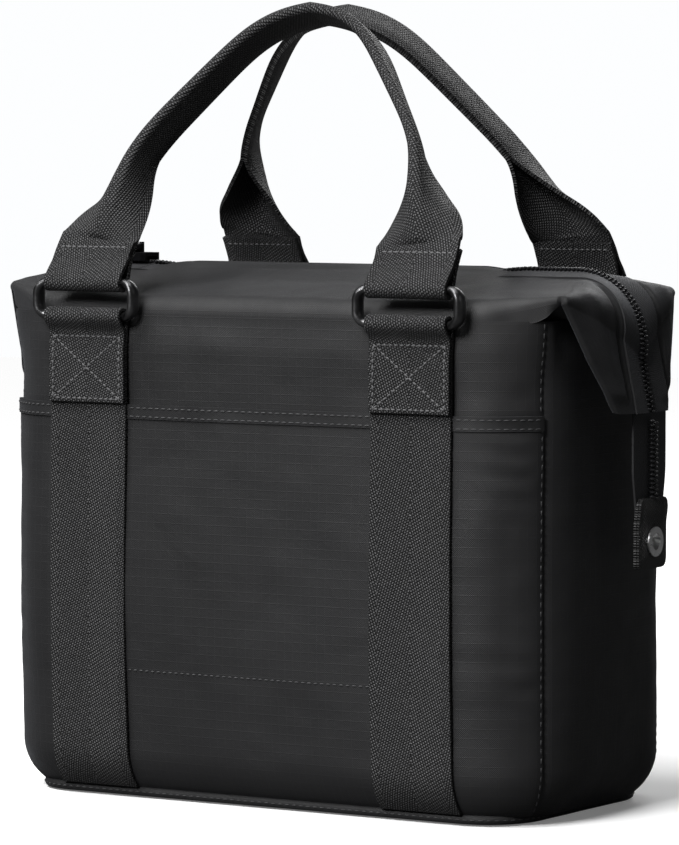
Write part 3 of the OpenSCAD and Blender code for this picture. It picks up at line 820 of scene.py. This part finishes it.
flap = {
    "start": roof["reach"], "hornX": 139.5, "crownX": 146.5, "crownRadius": 30.0,
    "edgeRadius": 3.4, "tilt": math.radians(12), "tipZ": 166.0, "kneeAt": 0.48,
    "frontHalf": (46.5, 36.0, 24.0), "backHalf": (41.0, 22.0, 14.6), "convex": 1.2,
    "creaseY": 16.8, "creaseDepth": 1.7, "edgeRoll": 2.0, "inner": 2.4, "ply": 0.5,
    "rimShare": 0.17, "hemTurn": 0.6, "leaveWall": (118.0, 58.2), "innerHang": 0.7,
    "innerFoot": 54.0, "turnFrom": (122.0, 0.0, 222.0), "turnTo": (139.0, 0.0, 211.0),
}
rowShares = (0.36, 0.28, 0.36)  # rows spent on the roof, on the fold and on the hanging part


def flapRun(w):
    first, fold, last = rowShares
    if w < first:
        return w / first
    if w < first + fold:
        return 1 + (w - first) / fold
    return 2 + (w - first - fold) / last


def flapHalves(y):
    # half width at the horn, the knee and the tip, which is drawn in more toward the back
    return flap["backHalf"] if y > 0 else flap["frontHalf"]


def flapHalf(along, sign):
    # half width of the sheet before its rolled edge, and the radius of that edge
    if along < 1:
        x = mix(flap["start"], flap["hornX"] - flap["edgeRadius"], along)
        turn = max(0.0, x - bag["cornerX"])
        onWall = bag["cornerY"] + math.sqrt(max(0.0, bag["cornerRadius"] ** 2 - turn ** 2))
        leave, leaveHalf = flap["leaveWall"]
        hornReach = flapHalves(sign)[0] + flap["edgeRoll"]
        toHorn = mix(leaveHalf, hornReach, (x - leave) / (flap["hornX"] - leave))
        outer = mix(onWall, toHorn, smoothStep(x, leave - 10, leave + 5))
        roll = mix(bag["rollRadius"], flap["edgeRoll"], smoothStep(x, 98, 137))
        return outer - roll, roll
    horn, knee, tip = flapHalves(sign)
    if along < 2:
        return horn, flap["edgeRoll"]
    t = along - 2
    if t < flap["kneeAt"]:
        return mix(horn, knee, (t / flap["kneeAt"]) ** 0.85), flap["edgeRoll"]
    return mix(knee, tip, ((t - flap["kneeAt"]) / (1 - flap["kneeAt"])) ** 0.9), flap["edgeRoll"]


def flapFrame(y, along):
    # place and outward direction; along runs 0 to 1 on the roof, to 2 round the fold, to 3 down
    top = roofHeight(y)
    share = min(1.0, abs(y) / flapHalves(y)[0])
    foldX = mix(flap["crownX"], flap["hornX"], share ** 2)
    radius = mix(flap["crownRadius"], flap["edgeRadius"], share ** 0.8)
    bendX, bendZ = foldX - radius, top - radius
    if along < 1:
        return Vector((mix(flap["start"], bendX, along), y, top)), Vector((0, 0, 1))
    angle = math.pi / 2 - (math.pi / 2 + flap["tilt"]) * min(1.0, along - 1)
    normal = Vector((math.cos(angle), 0, math.sin(angle)))
    point = Vector((bendX, y, bendZ)) + normal * radius
    if along > 2:
        down = Vector((math.sin(flap["tilt"]), 0, -math.cos(flap["tilt"])))
        point += down * (along - 2) * (point.z - flap["tipZ"]) / math.cos(flap["tilt"])
    return point, normal


def flapRelief(y, half, along):
    # the sheet falls away toward its edges and is creased beside the zip
    out = -flap["convex"] * (y / max(half, 1)) ** 2 * smoothStep(along, 1.5, 2.5)
    creased = smoothStep(along, 1.1, 1.5) * (1 - smoothStep(along, 2.75, 2.9))
    out -= flap["creaseDepth"] * bump(y, flap["creaseY"], 1.4) * creased
    return out + 1.2 * bump(y, (flap["creaseY"] + half) / 2, 6.0) * creased


def flapPoint(u, along):
    sign, a = (1 if u >= 0 else -1), abs(u)
    half, roll = flapHalf(along, sign)
    y = half * min(1.0, a / (1 - flap["rimShare"]))
    point, normal = flapFrame(sign * y, along)
    soft = smoothStep(along, 0.0, 0.4)
    rumple = 0.55 * wave(*point, 24, 6.1) + 0.25 * wave(*point, 9, 2.7)
    point = point + normal * (flapRelief(y, half, along) + soft * rumple)
    if a <= 1 - flap["rimShare"]:
        return point
    turned = (a - 1 + flap["rimShare"]) / flap["rimShare"]
    outward = Vector((0, sign, 0))

    def rolled(turn):
        return point + outward * roll * math.sin(turn) - normal * roll * (1 - math.cos(turn))

    # over the wall the edge turns down to it, and past the wall it curls under itself
    hem = rolled(math.pi / 2 * min(1.0, turned / flap["hemTurn"]))
    if turned > flap["hemTurn"]:
        lowest = mix(bag["wallTop"] - 0.6, 208.5, smoothStep(point.x, 126, 138))
        hem.z -= max(0.0, hem.z - lowest) * (turned - flap["hemTurn"]) / (1 - flap["hemTurn"])
    return hem.lerp(rolled(math.pi * 0.93 * turned), smoothStep(along, 0.9, 1.0))


def flapStrip(y, along, lift):
    # a point above the middle of the flap, for the zip that is sewn along it
    point, normal = flapFrame(y, along)
    return point + normal * (lift + flapRelief(abs(y), flapHalf(along, y)[0], along))


def flapPlace(side):
    def place(u, w):
        p = flapPoint(2 * u - 1, flapRun(w))
        return (side * p.x, side * p.y, p.z)
    return place


def flapInnerPlace(side):
    # inner ply: from the tip up behind the flap, over and down onto the top of the side wall
    backOf = Vector((math.cos(flap["tilt"]), 0, -math.sin(flap["tilt"])))
    hang = flap["innerHang"]

    def place(u, w):
        a = 2 * u - 1
        along = mix(3.0, 2.0, min(1.0, w / hang))
        half = flapHalf(along, a)[0]
        p = flapStrip(a * half, along, -flap["inner"]) - backOf * (0.6 * a ** 4)
        if w > hang:
            t = (w - hang) / (1 - hang)
            footY = a * flap["innerFoot"]
            drawnIn = 2.2 + 9.0 * smoothStep(abs(footY), 30, flap["innerFoot"])
            foot = Vector((bag["halfWidth"] - drawnIn, footY, sideHigh.z - 1.0))
            peak = (p + foot) / 2
            peak.z = max(p.z, foot.z) + 1.0
            p = p * (1 - t) ** 2 + peak * 2 * t * (1 - t) + foot * t ** 2
        return (side * p.x, side * p.y, p.z)
    return place


def flapField(side, hand):
    x0, y0, z0 = flap["turnFrom"]
    x1, y1, z1 = flap["turnTo"]
    return "bag", "side_flap_" + hand, (side * x0, y0, z0), (side * x1, y1, z1)


for side, hand in bothSides:
    across = flapField(side, hand)
    outerSheet = clothPatch(104, 120, flapPlace(side), 140, 130, (side * 105, 0, 190))
    outer = thinCloth("flap_cloth_" + hand, outerSheet, shellCloth, flap["ply"])
    settle(outer, across=across, nodes=["roof_end_" + hand, "ear_skin_" + hand])
    innerSheet = clothPatch(48, 50, flapInnerPlace(side), 90, 90, (side * 160, 0, 190))
    inner = thinCloth("flap_lining_" + hand, innerSheet, hemCloth, flap["ply"])
    settle(inner, across=across, nodes=["ear_lining_" + hand])
print("flaps made")


# zip: tape, teeth, free ends

zipper = {
    "half": 13.5, "tape": 0.9, "tapeLift": 0.35, "teethLift": 0.85, "gap": 0.15, "sunk": 1.6,
    "pitch": 1.9, "toothWide": 1.25, "toothHigh": 1.9, "toothLong": 3.3, "toothAside": 0.46,
    "flapRise": 0.2, "tailLength": 34.5, "tailDrawIn": 2.5, "tailTeethDrop": 2.8,
}
toothBead = beadMesh(8, 5)


def teethAlong(bm, pathAt, length, rows=(-1, 1)):
    # one tooth to each side in turn, along pathAt(t) = (spot, forward, normal)
    half = (zipper["toothWide"] / 2, zipper["toothLong"] / 2, zipper["toothHigh"] / 2)
    count = int(length / zipper["pitch"])
    for i in range(count):
        for row in rows:
            at = (i + 0.5 + 0.25 * row) / count
            spot, forward, normal = pathAt(min(1.0, max(0.0, at)))
            aside = row * zipper["toothLong"] * zipper["toothAside"]
            addBead(bm, toothBead, spot, forward, normal, half, aside)


def sunk(x):
    # the zip lies lower in the middle of the mouth than at its ends
    return zipper["sunk"] * (1 - smoothStep(x, roof["reach"] - 20, roof["reach"]))


for face, facing in bothFaces:
    for side, hand in bothSides:
        across = mouthField(side, face, facing)

        def tapeAt(u, w):
            y = mix(zipper["gap"], zipper["half"], w)
            x = roof["reach"] * u
            return (side * x, face * y, roofHeight(y) + zipper["tapeLift"] + 0.1 - sunk(x))

        def mouthTeeth(t):
            x = roof["reach"] * t
            z = roofHeight(0) + zipper["teethLift"] - sunk(x)
            return Vector((side * x, 0, z)), Vector((1, 0, 0)), Vector((0, 0, 1))

        tape = finishPiece("tape_%s_%s" % (facing, hand),
                           clothPatch(60, 8, tapeAt, roof["reach"], zipper["half"]), tapeCloth,
                           zipper["tape"])
        settle(tape, across=across, nodes=["zip_tape_" + facing])
        bm = bmesh.new()
        teethAlong(bm, mouthTeeth, roof["reach"], rows=(face,))
        row = finishPiece("teeth_%s_%s" % (facing, hand), bm, teethNylon)
        settle(row, across=across, nodes=["zip_teeth_" + facing])

teethLift = zipper["teethLift"] + zipper["flapRise"]
teethSpots = [tuple(flapStrip(0.0, 3 * i / 150, teethLift)) for i in range(151)]
teethRun = pathLengths(teethSpots)
tailX = (tabLow.x + tabHigh.x) / 2
tailTop = tabHigh.z + zipper["tailLength"]
for side, hand in bothSides:
    across = flapField(side, hand)

    def flapTapeAt(u, w):
        y = mix(-zipper["half"], zipper["half"], u)
        p = flapStrip(y, flapRun(w), zipper["tapeLift"] + 0.25)
        return (side * p.x, side * p.y, p.z)

    def flapTeeth(t):
        at = t * (teethRun[-1] - 0.1)
        p = Vector(alongPath(teethSpots, teethRun, at))
        forward = Vector(alongPath(teethSpots, teethRun, at + 0.1)) - p
        normal = forward.cross(Vector((0, 1, 0)))
        normal = normal if normal.z + normal.x > 0 else -normal
        return [Vector((side * v.x, v.y, v.z)) for v in (p, forward, normal)]

    tape = finishPiece("flap_tape_" + hand,
                       clothPatch(22, 110, flapTapeAt, 27, 120, (side * 105, 0, 190)), tapeCloth,
                       zipper["tape"])
    settle(tape, across=across, nodes=["ear_tape_" + hand, "zip_end_tape_" + hand])
    bm = bmesh.new()
    teethAlong(bm, flapTeeth, teethRun[-1])
    settle(finishPiece("flap_teeth_" + hand, bm, teethNylon), across=across,
           nodes=["ear_teeth_" + hand, "zip_end_teeth_" + hand])

    # free end of the zip, hanging straight down into the tab
    def tailAt(u, w):
        half = zipper["half"] - zipper["tailDrawIn"] * smoothStep(w, 0.5, 1)
        x = tailX + 0.35 - 0.6 * (2 * u - 1) ** 2
        return (side * x, mix(-half, half, u), mix(tailTop, tabHigh.z - 8, w))

    def tailTeeth(t):
        z = mix(tailTop - zipper["tailTeethDrop"], tabHigh.z - 1, t)
        return Vector((side * (tailX + 1.7), 0, z)), Vector((0, 0, -1)), Vector((side, 0, 0))

    tail = finishPiece("tail_tape_piece_" + hand,
                       clothPatch(18, 30, tailAt, 27, 42, (side * 100, 0, 140)), tapeCloth,
                       zipper["tape"])
    settle(tail, body="zip_tail_" + hand, nodes=["tail_tape_" + hand])
    bm = bmesh.new()
    teethAlong(bm, tailTeeth, zipper["tailLength"])
    settle(finishPiece("tail_teeth_piece_" + hand, bm, teethNylon),
           body="zip_tail_" + hand, nodes=["tail_teeth_" + hand])
print("zip made")


# end tabs: folded webbing with a hole for the eyelet

tab = {"half": (tabHigh.y - tabLow.y) / 2, "ply": 1.2, "hole": 4.4, "out": 2.0, "pinch": 0.7}


def tabPlate(side, way):
    # ring shaped sheet from the eyelet's hole out to the edges of the tab
    eyeX, eyeZ = (eyeletLow.x + eyeletHigh.x) / 2, (eyeletLow.z + eyeletHigh.z) / 2

    def place(u, w):
        c, t = math.cos(2 * math.pi * u), math.sin(2 * math.pi * u)
        reach = tabHigh.z - eyeZ if t > 0 else eyeZ - tabLow.z
        size = ((abs(c) / tab["half"]) ** 10 + (abs(t) / reach) ** 10) ** 0.1
        y, z = mix(tab["hole"] * c, c / size, w), mix(tab["hole"] * t, t / size, w)
        edge = max(abs(y) / tab["half"], abs(z - (tabHigh.z + tabLow.z) / 2 + eyeZ) / 14.5)
        puff = tab["out"] - tab["pinch"] * smoothStep(edge, 0.55, 1.0)
        bow = 0.8 * math.sin(z / 9.0)
        return (side * (eyeX + way * puff + bow * smoothStep(abs(z), 6.5, 14)), y, eyeZ + z)

    bm = clothPatch(64, 9, place, 60, 12, (side * (eyeX - way * 9), 0, eyeZ))
    uvLayer = bm.loops.layers.uv["cloth"]
    for face in bm.faces:
        for loop in face.loops:
            loop[uvLayer].uv = (loop.vert.co.y / (tab["half"] * mm) * 0.019 + 0.019, loop.vert.co.z)
    weld(bm)
    return bm


for side, hand in bothSides:
    for way, ply in ((1, "outer"), (-1, "inner")):
        piece = finishPiece("tab_%s_%s" % (ply, hand), tabPlate(side, way), webbing, tab["ply"])
        settle(piece, body="zip_tail_" + hand, nodes=["end_tab_" + hand])
print("tabs made")


# straps

strap = {
    "half": (strapHigh.x - strapLow.x) / 2, "x": (strapHigh.x + strapLow.x) / 2, "thick": 1.5,
    "lift": 2.1, "foldTop": 195.5, "foldEnd": 166.5, "foldGap": 0.2, "wrap": 3.1, "backSit": 1.1,
    "underAngle": math.radians(45), "edge": 0.3, "swellFrom": (8, 24), "swellTo": (186, 199),
}
barInset = 3.5  # from the end of a ring to the middle of its bar
barY = (ringLow.y + ringHigh.y) / 2
lowBar = ringLow.z + barInset
highBar = ringHigh.z - barInset


def strapPath():
    # (outward distance, height) from under the body up the wall, round the bar and down again
    flat, r = bag["halfDepth"], bag["baseRadius"]
    turns = [strap["underAngle"] * (1 - i / 12) for i in range(13)]
    path = [(flat - r + (r + strap["lift"]) * math.cos(a), r - (r + strap["lift"]) * math.sin(a))
            for a in turns]
    path += [(flat + strap["lift"], mix(r, lowBar, i / 88)) for i in range(1, 88)]
    turns = [math.pi * (1 - i / 16) for i in range(17)]
    path += [(barY + strap["wrap"] * math.cos(a), lowBar + strap["wrap"] * math.sin(a))
             for a in turns]
    front = flat + strap["lift"] + strap["thick"] + strap["foldGap"]
    path += [(mix(barY + strap["wrap"], front, smoothStep(i / 8)),
              mix(lowBar, strap["foldTop"], i / 8)) for i in range(1, 9)]
    return path + [(front, mix(strap["foldTop"], strap["foldEnd"], i / 16)) for i in range(1, 17)]


def strapSwell(face, x, z):
    # how far the wall pushes the strap out; the back straps lie on the wall, without a pocket
    s = x if face < 0 else 2 * quarter - x
    swell = wallSwell(s, z) + 0.35 * wallCrumple(s, z) - (strap["backSit"] if face > 0 else 0.0)
    return swell * (1 - smoothStep(z, *strap["swellTo"]))


def strapSurface(side, face, x, out, z):
    swell = 0.0
    if out < barY:
        swell = strapSwell(face, x, z) * smoothStep(z, *strap["swellFrom"])
    elif z < lowBar - 6:
        swell = strapSwell(face, x, z)
    return (side * x, face * (out + swell), z)


strapLine = strapPath()
strapLengths = pathLengths(strapLine)
for face, facing in bothFaces:
    for side, hand in bothSides:
        def strapAt(u, w):
            out, z = alongPath(strapLine, strapLengths, w * strapLengths[-1])
            x = strap["x"] + strap["half"] * (2 * u - 1)
            return strapSurface(side, face, x, out, z)

        bm = clothPatch(14, 200, strapAt, 2 * strap["half"], strapLengths[-1])
        piece = finishPiece("strap_%s_%s_web" % (facing, hand), bm, webbing, strap["thick"],
                            offset=0.0)
        edge = piece.modifiers.new("edge", "BEVEL")
        edge.width = strap["edge"] * mm
        edge.segments = 2
        settle(piece, body="bag", nodes=["strap_%s_%s" % (facing, hand)])
print("straps made")


# rings: one bent wire, round where the webbing turns and flattened at its two ends

ring = {"wire": 1.9, "endWide": 3.5, "endThick": 2.0, "cornerRadius": 4.6, "around": 18, "along": 96}
ringHalf = (ringHigh.x - ringLow.x) / 2 - ring["endThick"]
ringTall = (highBar - lowBar) / 2


def ringLine():
    # closed outline of the wire's centre, flat bars joined by rounded ends
    r = ring["cornerRadius"]
    line = []
    for cx, cz, start in ((1, 1, 0), (-1, 1, 90), (-1, -1, 180), (1, -1, 270)):
        for i in range(9):
            a = math.radians(start + 90 * i / 8)
            x, z = cx * (ringHalf - r), cz * (ringTall - r)
            line.append((x + r * math.cos(a), z + r * math.sin(a)))
    return line + line[:1]


ringPath = ringLine()
ringRun = pathLengths(ringPath)
for face, facing in bothFaces:
    for side, hand in bothSides:
        def ringAt(u, w):
            x, z = alongPath(ringPath, ringRun, u * ringRun[-1])
            x1, z1 = alongPath(ringPath, ringRun, (u + 0.003) % 1.0 * ringRun[-1])
            ahead = Vector((x1 - x, z1 - z)).normalized()
            flat = smoothStep(abs(x), ringHalf - ring["cornerRadius"], ringHalf)
            a = 2 * math.pi * w
            out = mix(ring["wire"], ring["endThick"], flat) * math.cos(a)
            deep = mix(ring["wire"], ring["endWide"], flat) * math.sin(a)
            return (side * strap["x"] + x + ahead.y * out, face * barY + deep,
                    (lowBar + highBar) / 2 + z - ahead.x * out)

        bm = clothPatch(ring["along"], ring["around"], ringAt, ringRun[-1], 12)
        weld(bm, 0.01)
        bmesh.ops.recalc_face_normals(bm, faces=bm.faces[:])
        piece = finishPiece("ring_%s_%s_wire" % (facing, hand), bm, ringSteel)
        settle(piece, body="%s_%s_ring" % (facing, hand),
               nodes=["ring_%s_%s" % (facing, hand)])
print("rings made")


# handles

# toe turns the folded webbing about its own length, the same way or (skew) mirrored at its ends
handle = {
    "lean": math.radians(28.5), "height": 127.0, "topRadius": 42.0, "slope": math.radians(54),
    "legRadius": 60.0, "legX": 72.5, "thick": 1.6, "webHalf": 19.0, "foldFrom": 20.5,
    "foldTo": 62.0, "foldBend": 1.7, "flatShare": 0.18, "plyEnd": 18.8, "stiffTo": 14.0,
    "easing": 70, "plyGap": 1.0, "gripShift": 9.5,
    "front": {"toe": 5.0, "toeTop": -7.0, "skew": 8.0, "sway": -1.5},
    "back": {"toe": -3.0, "toeTop": -8.0, "skew": -15.0, "sway": -6.0},
}


def handlePath():
    # half of the arch as (x, up the lean, outward), from the ply end behind the bar to the crown
    topR, legR, legX, slope = (handle[k] for k in ("topRadius", "legRadius", "legX", "slope"))
    x, gap, wrap = strap["x"], handle["plyGap"], strap["wrap"]
    up = handle["height"] - topR
    runX, runZ = topR * math.sin(slope), up + topR * math.cos(slope)
    bendX = legX - legR * (1 - math.sin(slope))
    run = (bendX - runX) / math.cos(slope)
    bendZ = runZ - run * math.sin(slope)
    legTop = bendZ - legR * math.cos(slope)
    path = [(x, handle["plyEnd"], -gap), (x, 16, -gap), (x, 9, -gap - 0.3), (x, 4, -2.5)]
    turns = [math.pi + math.pi * i / 12 for i in range(13)]
    path += [(x, wrap * math.sin(a), wrap * math.cos(a)) for a in turns]
    path += [(x, 4, 2.5), (x, 9, gap + 0.3), (x, 16, gap), (x, 22, gap)]
    path.append((mix(x, legX, 0.5), legTop - 2, 0.4))
    turns = [mix(math.pi / 2, slope, i / 12) for i in range(13)]
    path += [(legX - legR * (1 - math.sin(a)), legTop + legR * math.cos(a), 0.0) for a in turns]
    path += [(mix(bendX, runX, i / 8), mix(bendZ, runZ, i / 8), 0.0) for i in range(1, 8)]
    turns = [mix(slope, 0, i / 16) for i in range(17)]
    return path + [(topR * math.sin(a), up + topR * math.cos(a), 0.0) for a in turns]


def handleStations():
    # place, width direction and direction of travel at even steps from one ply end to the crown
    path = handlePath()
    lengths = pathLengths(path)
    count = 130
    half = [Vector(alongPath(path, lengths, lengths[-1] * i / count)) for i in range(count + 1)]
    free = next(i for i, p in enumerate(half) if p.z > 0 and p.y > handle["stiffTo"])
    for turn in range(handle["easing"]):
        # each pass softens the bends above the sewn loop
        eased = [(a + b * 2 + c) / 4 for a, b, c in zip(half, half[1:], half[2:])]
        half = half[:free] + eased[free - 1:] + [half[-1]]
    stations = []
    width = Vector((1, 0, 0))
    for i, p in enumerate(half):
        tangent = Vector((-1, 0, 0))
        if i < count:
            tangent = (half[i + 1] - half[max(0, i - 1)]).normalized()
        width = (width - tangent * width.dot(tangent)).normalized()
        if abs(tangent.x) > 0.2:
            width = Vector((tangent.y, -tangent.x, 0)).normalized()
        stations.append((p, tangent, width.copy()))
    return stations, lengths[-1]


def foldSection(q, fold):
    # half of the webbing's cross section: q from the middle out, folding from flat to shut
    x = n = 0.0
    steps = 24
    for i in range(steps):
        t = (i + 0.5) / steps * q
        angle = fold * math.pi / 2 * smoothStep(t, 0, handle["foldBend"] * mix(3.5, 1.5, fold))
        if fold > 0.8:
            angle += (fold - 0.8) * 0.9 * smoothStep(t, 11, 18)
        x += math.cos(angle) * q / steps
        n -= math.sin(angle) * q / steps
    return x, n


stations, handleHalf = handleStations()


def leaned(up, out):
    # depth and height of a place up the lean of a handle, out from its face
    lean = handle["lean"]
    return (barY - up * math.sin(lean) + out * math.cos(lean),
            highBar + up * math.cos(lean) + out * math.sin(lean))


def foldAt(along, height):
    # 0 where the webbing is flat round the ring, 1 where it is folded shut in the grip
    if along <= handle["flatShare"]:
        return 0.0
    t = (height - handle["foldFrom"]) / (handle["foldTo"] - handle["foldFrom"])
    t = max(0.0, min(1.0, t))
    return math.acos(1 - mix(t, smoothStep(t), 0.5)) / (math.pi / 2)


def handleAt(u, w, face):
    mirrored = w > 0.5
    along = 2 - 2 * w if mirrored else 2 * w
    i = along * (len(stations) - 1)
    k = min(int(i), len(stations) - 2)
    p, tangent, width = (a.lerp(b, i - k) for a, b in zip(stations[k], stations[k + 1]))
    width = width.normalized()
    outward = width.cross(tangent.normalized()).normalized()
    fold = foldAt(along, p.y)
    way = handle["front"] if face < 0 else handle["back"]
    lean = (-1 if mirrored else 1) * max(-1.0, min(1.0, p.x / 60))
    toe = mix(way["toe"], way["toeTop"], smoothStep(p.y, 60, 124)) + way["skew"] * lean
    toe = math.radians(toe) * fold
    width, outward = (width * math.cos(toe) - outward * math.sin(toe),
                      outward * math.cos(toe) + width * math.sin(toe))
    x, n = foldSection(abs(2 * u - 1) * handle["webHalf"], fold)
    n += handle["gripShift"] * math.sin(fold * math.pi / 2)
    px, up, out = p + width * (x if u >= 0.5 else -x) + outward * n
    px = (-px if mirrored else px) + way["sway"] * smoothStep(up, 15, 80)
    y, z = leaned(up, out)
    return (px, face * y, z)


for face, facing in bothFaces:
    bm = clothPatch(48, 420, lambda u, w: handleAt(u, w, face), 2 * handle["webHalf"],
                    2 * handleHalf, inside=(0, face * 20, 225))
    piece = finishPiece("handle_%s_web" % facing, bm, webbing, handle["thick"], offset=0.0)
    settle(piece, body=facing + "_grip", nodes=["handle_" + facing])
print("handles made")


# sewing

def sewPiece(name, lines, body, yarn=thread):
    bm = bmesh.new()
    for line, options in lines:
        sewLine(bm, line, **options)
    return settle(finishPiece(name, bm, yarn), body=body)


def wallLine(points, lift):
    line = []
    for s, z in points:
        p = Vector(wallPoint(s, z, lift))
        x, y, nx, ny = planPoint(s, 0)
        level = profilePoint(heightToRun(z))[2]
        line.append((p, Vector((nx * level, ny * level, -math.sqrt(max(0, 1 - level * level))))))
    return line


def span(a, b, step):
    count = max(1, int(abs(b - a) / step))
    return [mix(a, b, i / count) for i in range(count + 1)]


seams = {
    "edge": 1.6, "hemPitch": 3.3, "low": {"pitch": 3.0, "length": 2.0},
    "binding": {"pitch": 3.4, "length": 2.3}, "box": {"pitch": 2.7, "length": 2.0, "width": 0.48},
    "loop": {"pitch": 2.8, "length": 2.1, "width": 0.48}, "loopRows": (9.0, 15.8),
    "loopHalf": 16.5, "boxTop": 194.0, "boxLow": 168.0, "boxIn": 2.2,
}
rows = []
for middle, lift in ((0, pocket["lift"]), (2 * quarter, 0.1)):
    for hand in (-1, 1):
        s = middle + hand * (seam - seams["edge"])
        rows.append((wallLine([(s, z) for z in span(6, 163, 3)], lift + 0.1), {}))
        rows.append((wallLine([(s, z) for z in span(167, 203, 3)], 0.15), {}))
for low in pocket["rows"]:
    hemRow = [(s, hemHigh.z - low) for s in span(-seam + 2, seam - 2, 3)]
    rows.append((wallLine(hemRow, pocket["hemLift"] + 0.1), {"pitch": seams["hemPitch"]}))
inner = strap["x"] - strap["half"]
lowRow = [(s, pocket["lowSeam"]) for s in span(-inner, inner, 3)]
rows.append((wallLine(lowRow, pocket["lift"] + 0.1), seams["low"]))
bindingLine = []
for s in span(-2 * quarter, 2 * quarter, 4):
    x, y, nx, ny = planPoint(s, bindingInset(s) - 0.35)
    z = mix(binding["low"], binding["high"], 0.5)
    bindingLine.append((Vector((x, y, z)), Vector((nx, ny, 0))))
rows.append((bindingLine, seams["binding"]))
sewPiece("wall_sewing", rows, "bag")


def onStrap(side, face, x, z):
    out = bag["halfDepth"] + strap["lift"] + 1.5 * strap["thick"] + strap["foldGap"] + 0.1
    return (Vector((side * x, face * (out + strapSwell(face, x, z)), z)), Vector((0, face, 0)))


# a box with a cross in it, sewn through the turned down end of each strap
xa = strap["x"] - strap["half"] + seams["boxIn"]
xb = strap["x"] + strap["half"] - seams["boxIn"]
za, zb = seams["boxLow"], seams["boxTop"]
boxLines = [((xa, za), (xb, za)), ((xb, za), (xb, zb)), ((xb, zb), (xa, zb)), ((xa, zb), (xa, za)),
            ((xa, za), (xb, zb)), ((xb, za), (xa, zb))]
rows = []
for face in (-1, 1):
    for side in (-1, 1):
        for (x0, z0), (x1, z1) in boxLines:
            line = [onStrap(side, face, mix(x0, x1, t), mix(z0, z1, t)) for t in span(0, 1, 0.1)]
            rows.append((line, seams["box"]))
sewPiece("strap_sewing", rows, "bag", heavyThread)

# two rows on both faces of each handle's loop
out = handle["plyGap"] + handle["thick"] / 2 + 0.1
through = 2 * handle["plyGap"] + handle["thick"] + 0.2
for face, facing in bothFaces:
    outward = Vector((0, face * math.cos(handle["lean"]), math.sin(handle["lean"])))
    rows = []
    for side in (-1, 1):
        for up in seams["loopRows"]:
            y, z = leaned(up, out)
            line = [(Vector((side * x, face * y, z)), outward)
                    for x in span(strap["x"] - seams["loopHalf"], strap["x"] + seams["loopHalf"], 3)]
            rows.append((line, seams["loop"]))
            rows.append(([(p - n * through, -n) for p, n in line], seams["loop"]))
    sewPiece("handle_%s_sewing" % facing, rows, facing + "_grip", heavyThread)
print("sewing made")


# floor, light and camera

stage = {"floorSize": 6.0, "floorSeen": (0.9, 0.9, 0.9), "floorBounce": (0.05, 0.05, 0.05),
         "floorGlow": 0.16, "fill": 0.03, "backdrop": 1.0, "sun": 3.4, "sunAngle": math.radians(34)}
bm = bmesh.new()
bmesh.ops.create_grid(bm, x_segments=24, y_segments=24, size=stage["floorSize"] / 2)
floor = finishPiece("floor", bm, bpy.data.materials.new("pale floor"), smooth=False)
floorMaterial = floor.data.materials[0]
floorMaterial.use_nodes = True
floorTree = floorMaterial.node_tree
floorShader = floorTree.nodes["Principled BSDF"]
floorAdd = nodeKit(floorTree)
floorSeen = floorAdd("ShaderNodeLightPath").outputs["Is Camera Ray"]
floorColour = colourBlend(floorAdd, floorSeen, stage["floorBounce"], stage["floorSeen"])
for label in ("Base Color", "Emission Color"):
    floorTree.links.new(floorColour, floorShader.inputs[label])
floorShader.inputs["Emission Strength"].default_value = stage["floorGlow"]
floorShader.inputs["Roughness"].default_value = 0.7

world = bpy.data.worlds.new("studio")
world.use_nodes = True
worldTree = world.node_tree
worldAdd = nodeKit(worldTree)
seen = worldAdd("ShaderNodeLightPath").outputs["Is Camera Ray"]
glow = remap(worldAdd, seen, 0.0, 1.0, stage["fill"], stage["backdrop"])
worldTree.nodes["Background"].inputs[0].default_value = (0.98, 0.99, 1.0, 1)
worldTree.links.new(glow, worldTree.nodes["Background"].inputs[1])
scene.world = world
scene.view_settings.view_transform = "Standard"


def addAimed(name, data, place, direction):
    aimed = bpy.data.objects.new(name, data)
    scene.collection.objects.link(aimed)
    aimed.location = place
    aimed.rotation_euler = direction.to_track_quat("-Z", "Y").to_euler()
    return aimed


def addLamp(name, place, aim, size, power):
    data = bpy.data.lights.new(name, "AREA")
    data.shape = "RECTANGLE"
    data.size, data.size_y = size
    data.energy = power
    addAimed(name, data, place, Vector(aim) - Vector(place))


addLamp("key", (0.05, -1.2, 0.95), (0.0, 0, 0.24), (0.5, 0.4), 21)
addLamp("top", (0.1, 0.2, 1.6), (0, 0, 0.2), (1.0, 0.5), 4.5)
addLamp("side", (1.7, 0.3, 0.9), (0.1, 0, 0.1), (0.6, 0.6), 0.8)
addLamp("back", (-0.4, 1.7, 1.0), (0, 0, 0.15), (0.9, 0.6), 8)
addLamp("left", (-1.8, 0.5, 0.9), (-0.1, 0, 0.1), (0.6, 0.6), 1.5)
sunData = bpy.data.lights.new("window", "SUN")
sunData.energy = stage["sun"]
sunData.angle = stage["sunAngle"]
addAimed("window", sunData, (0, 0, 0), Vector((0.3, 0.42, -1.0)))

view = {"azimuth": math.radians(32.24), "elevation": math.radians(3.53), "distance": 2.110,
        "target": (0.0010, 0.0006, 0.1568), "focal": 5000 / 845 * 36}
cameraData = bpy.data.cameras.new("camera")
cameraData.sensor_width = 36
cameraData.lens = view["focal"]
away = Vector((math.sin(view["azimuth"]) * math.cos(view["elevation"]),
               -math.cos(view["azimuth"]) * math.cos(view["elevation"]),
               math.sin(view["elevation"])))
place = Vector(view["target"]) + away * view["distance"]
scene.camera = addAimed("camera", cameraData, place, -away)
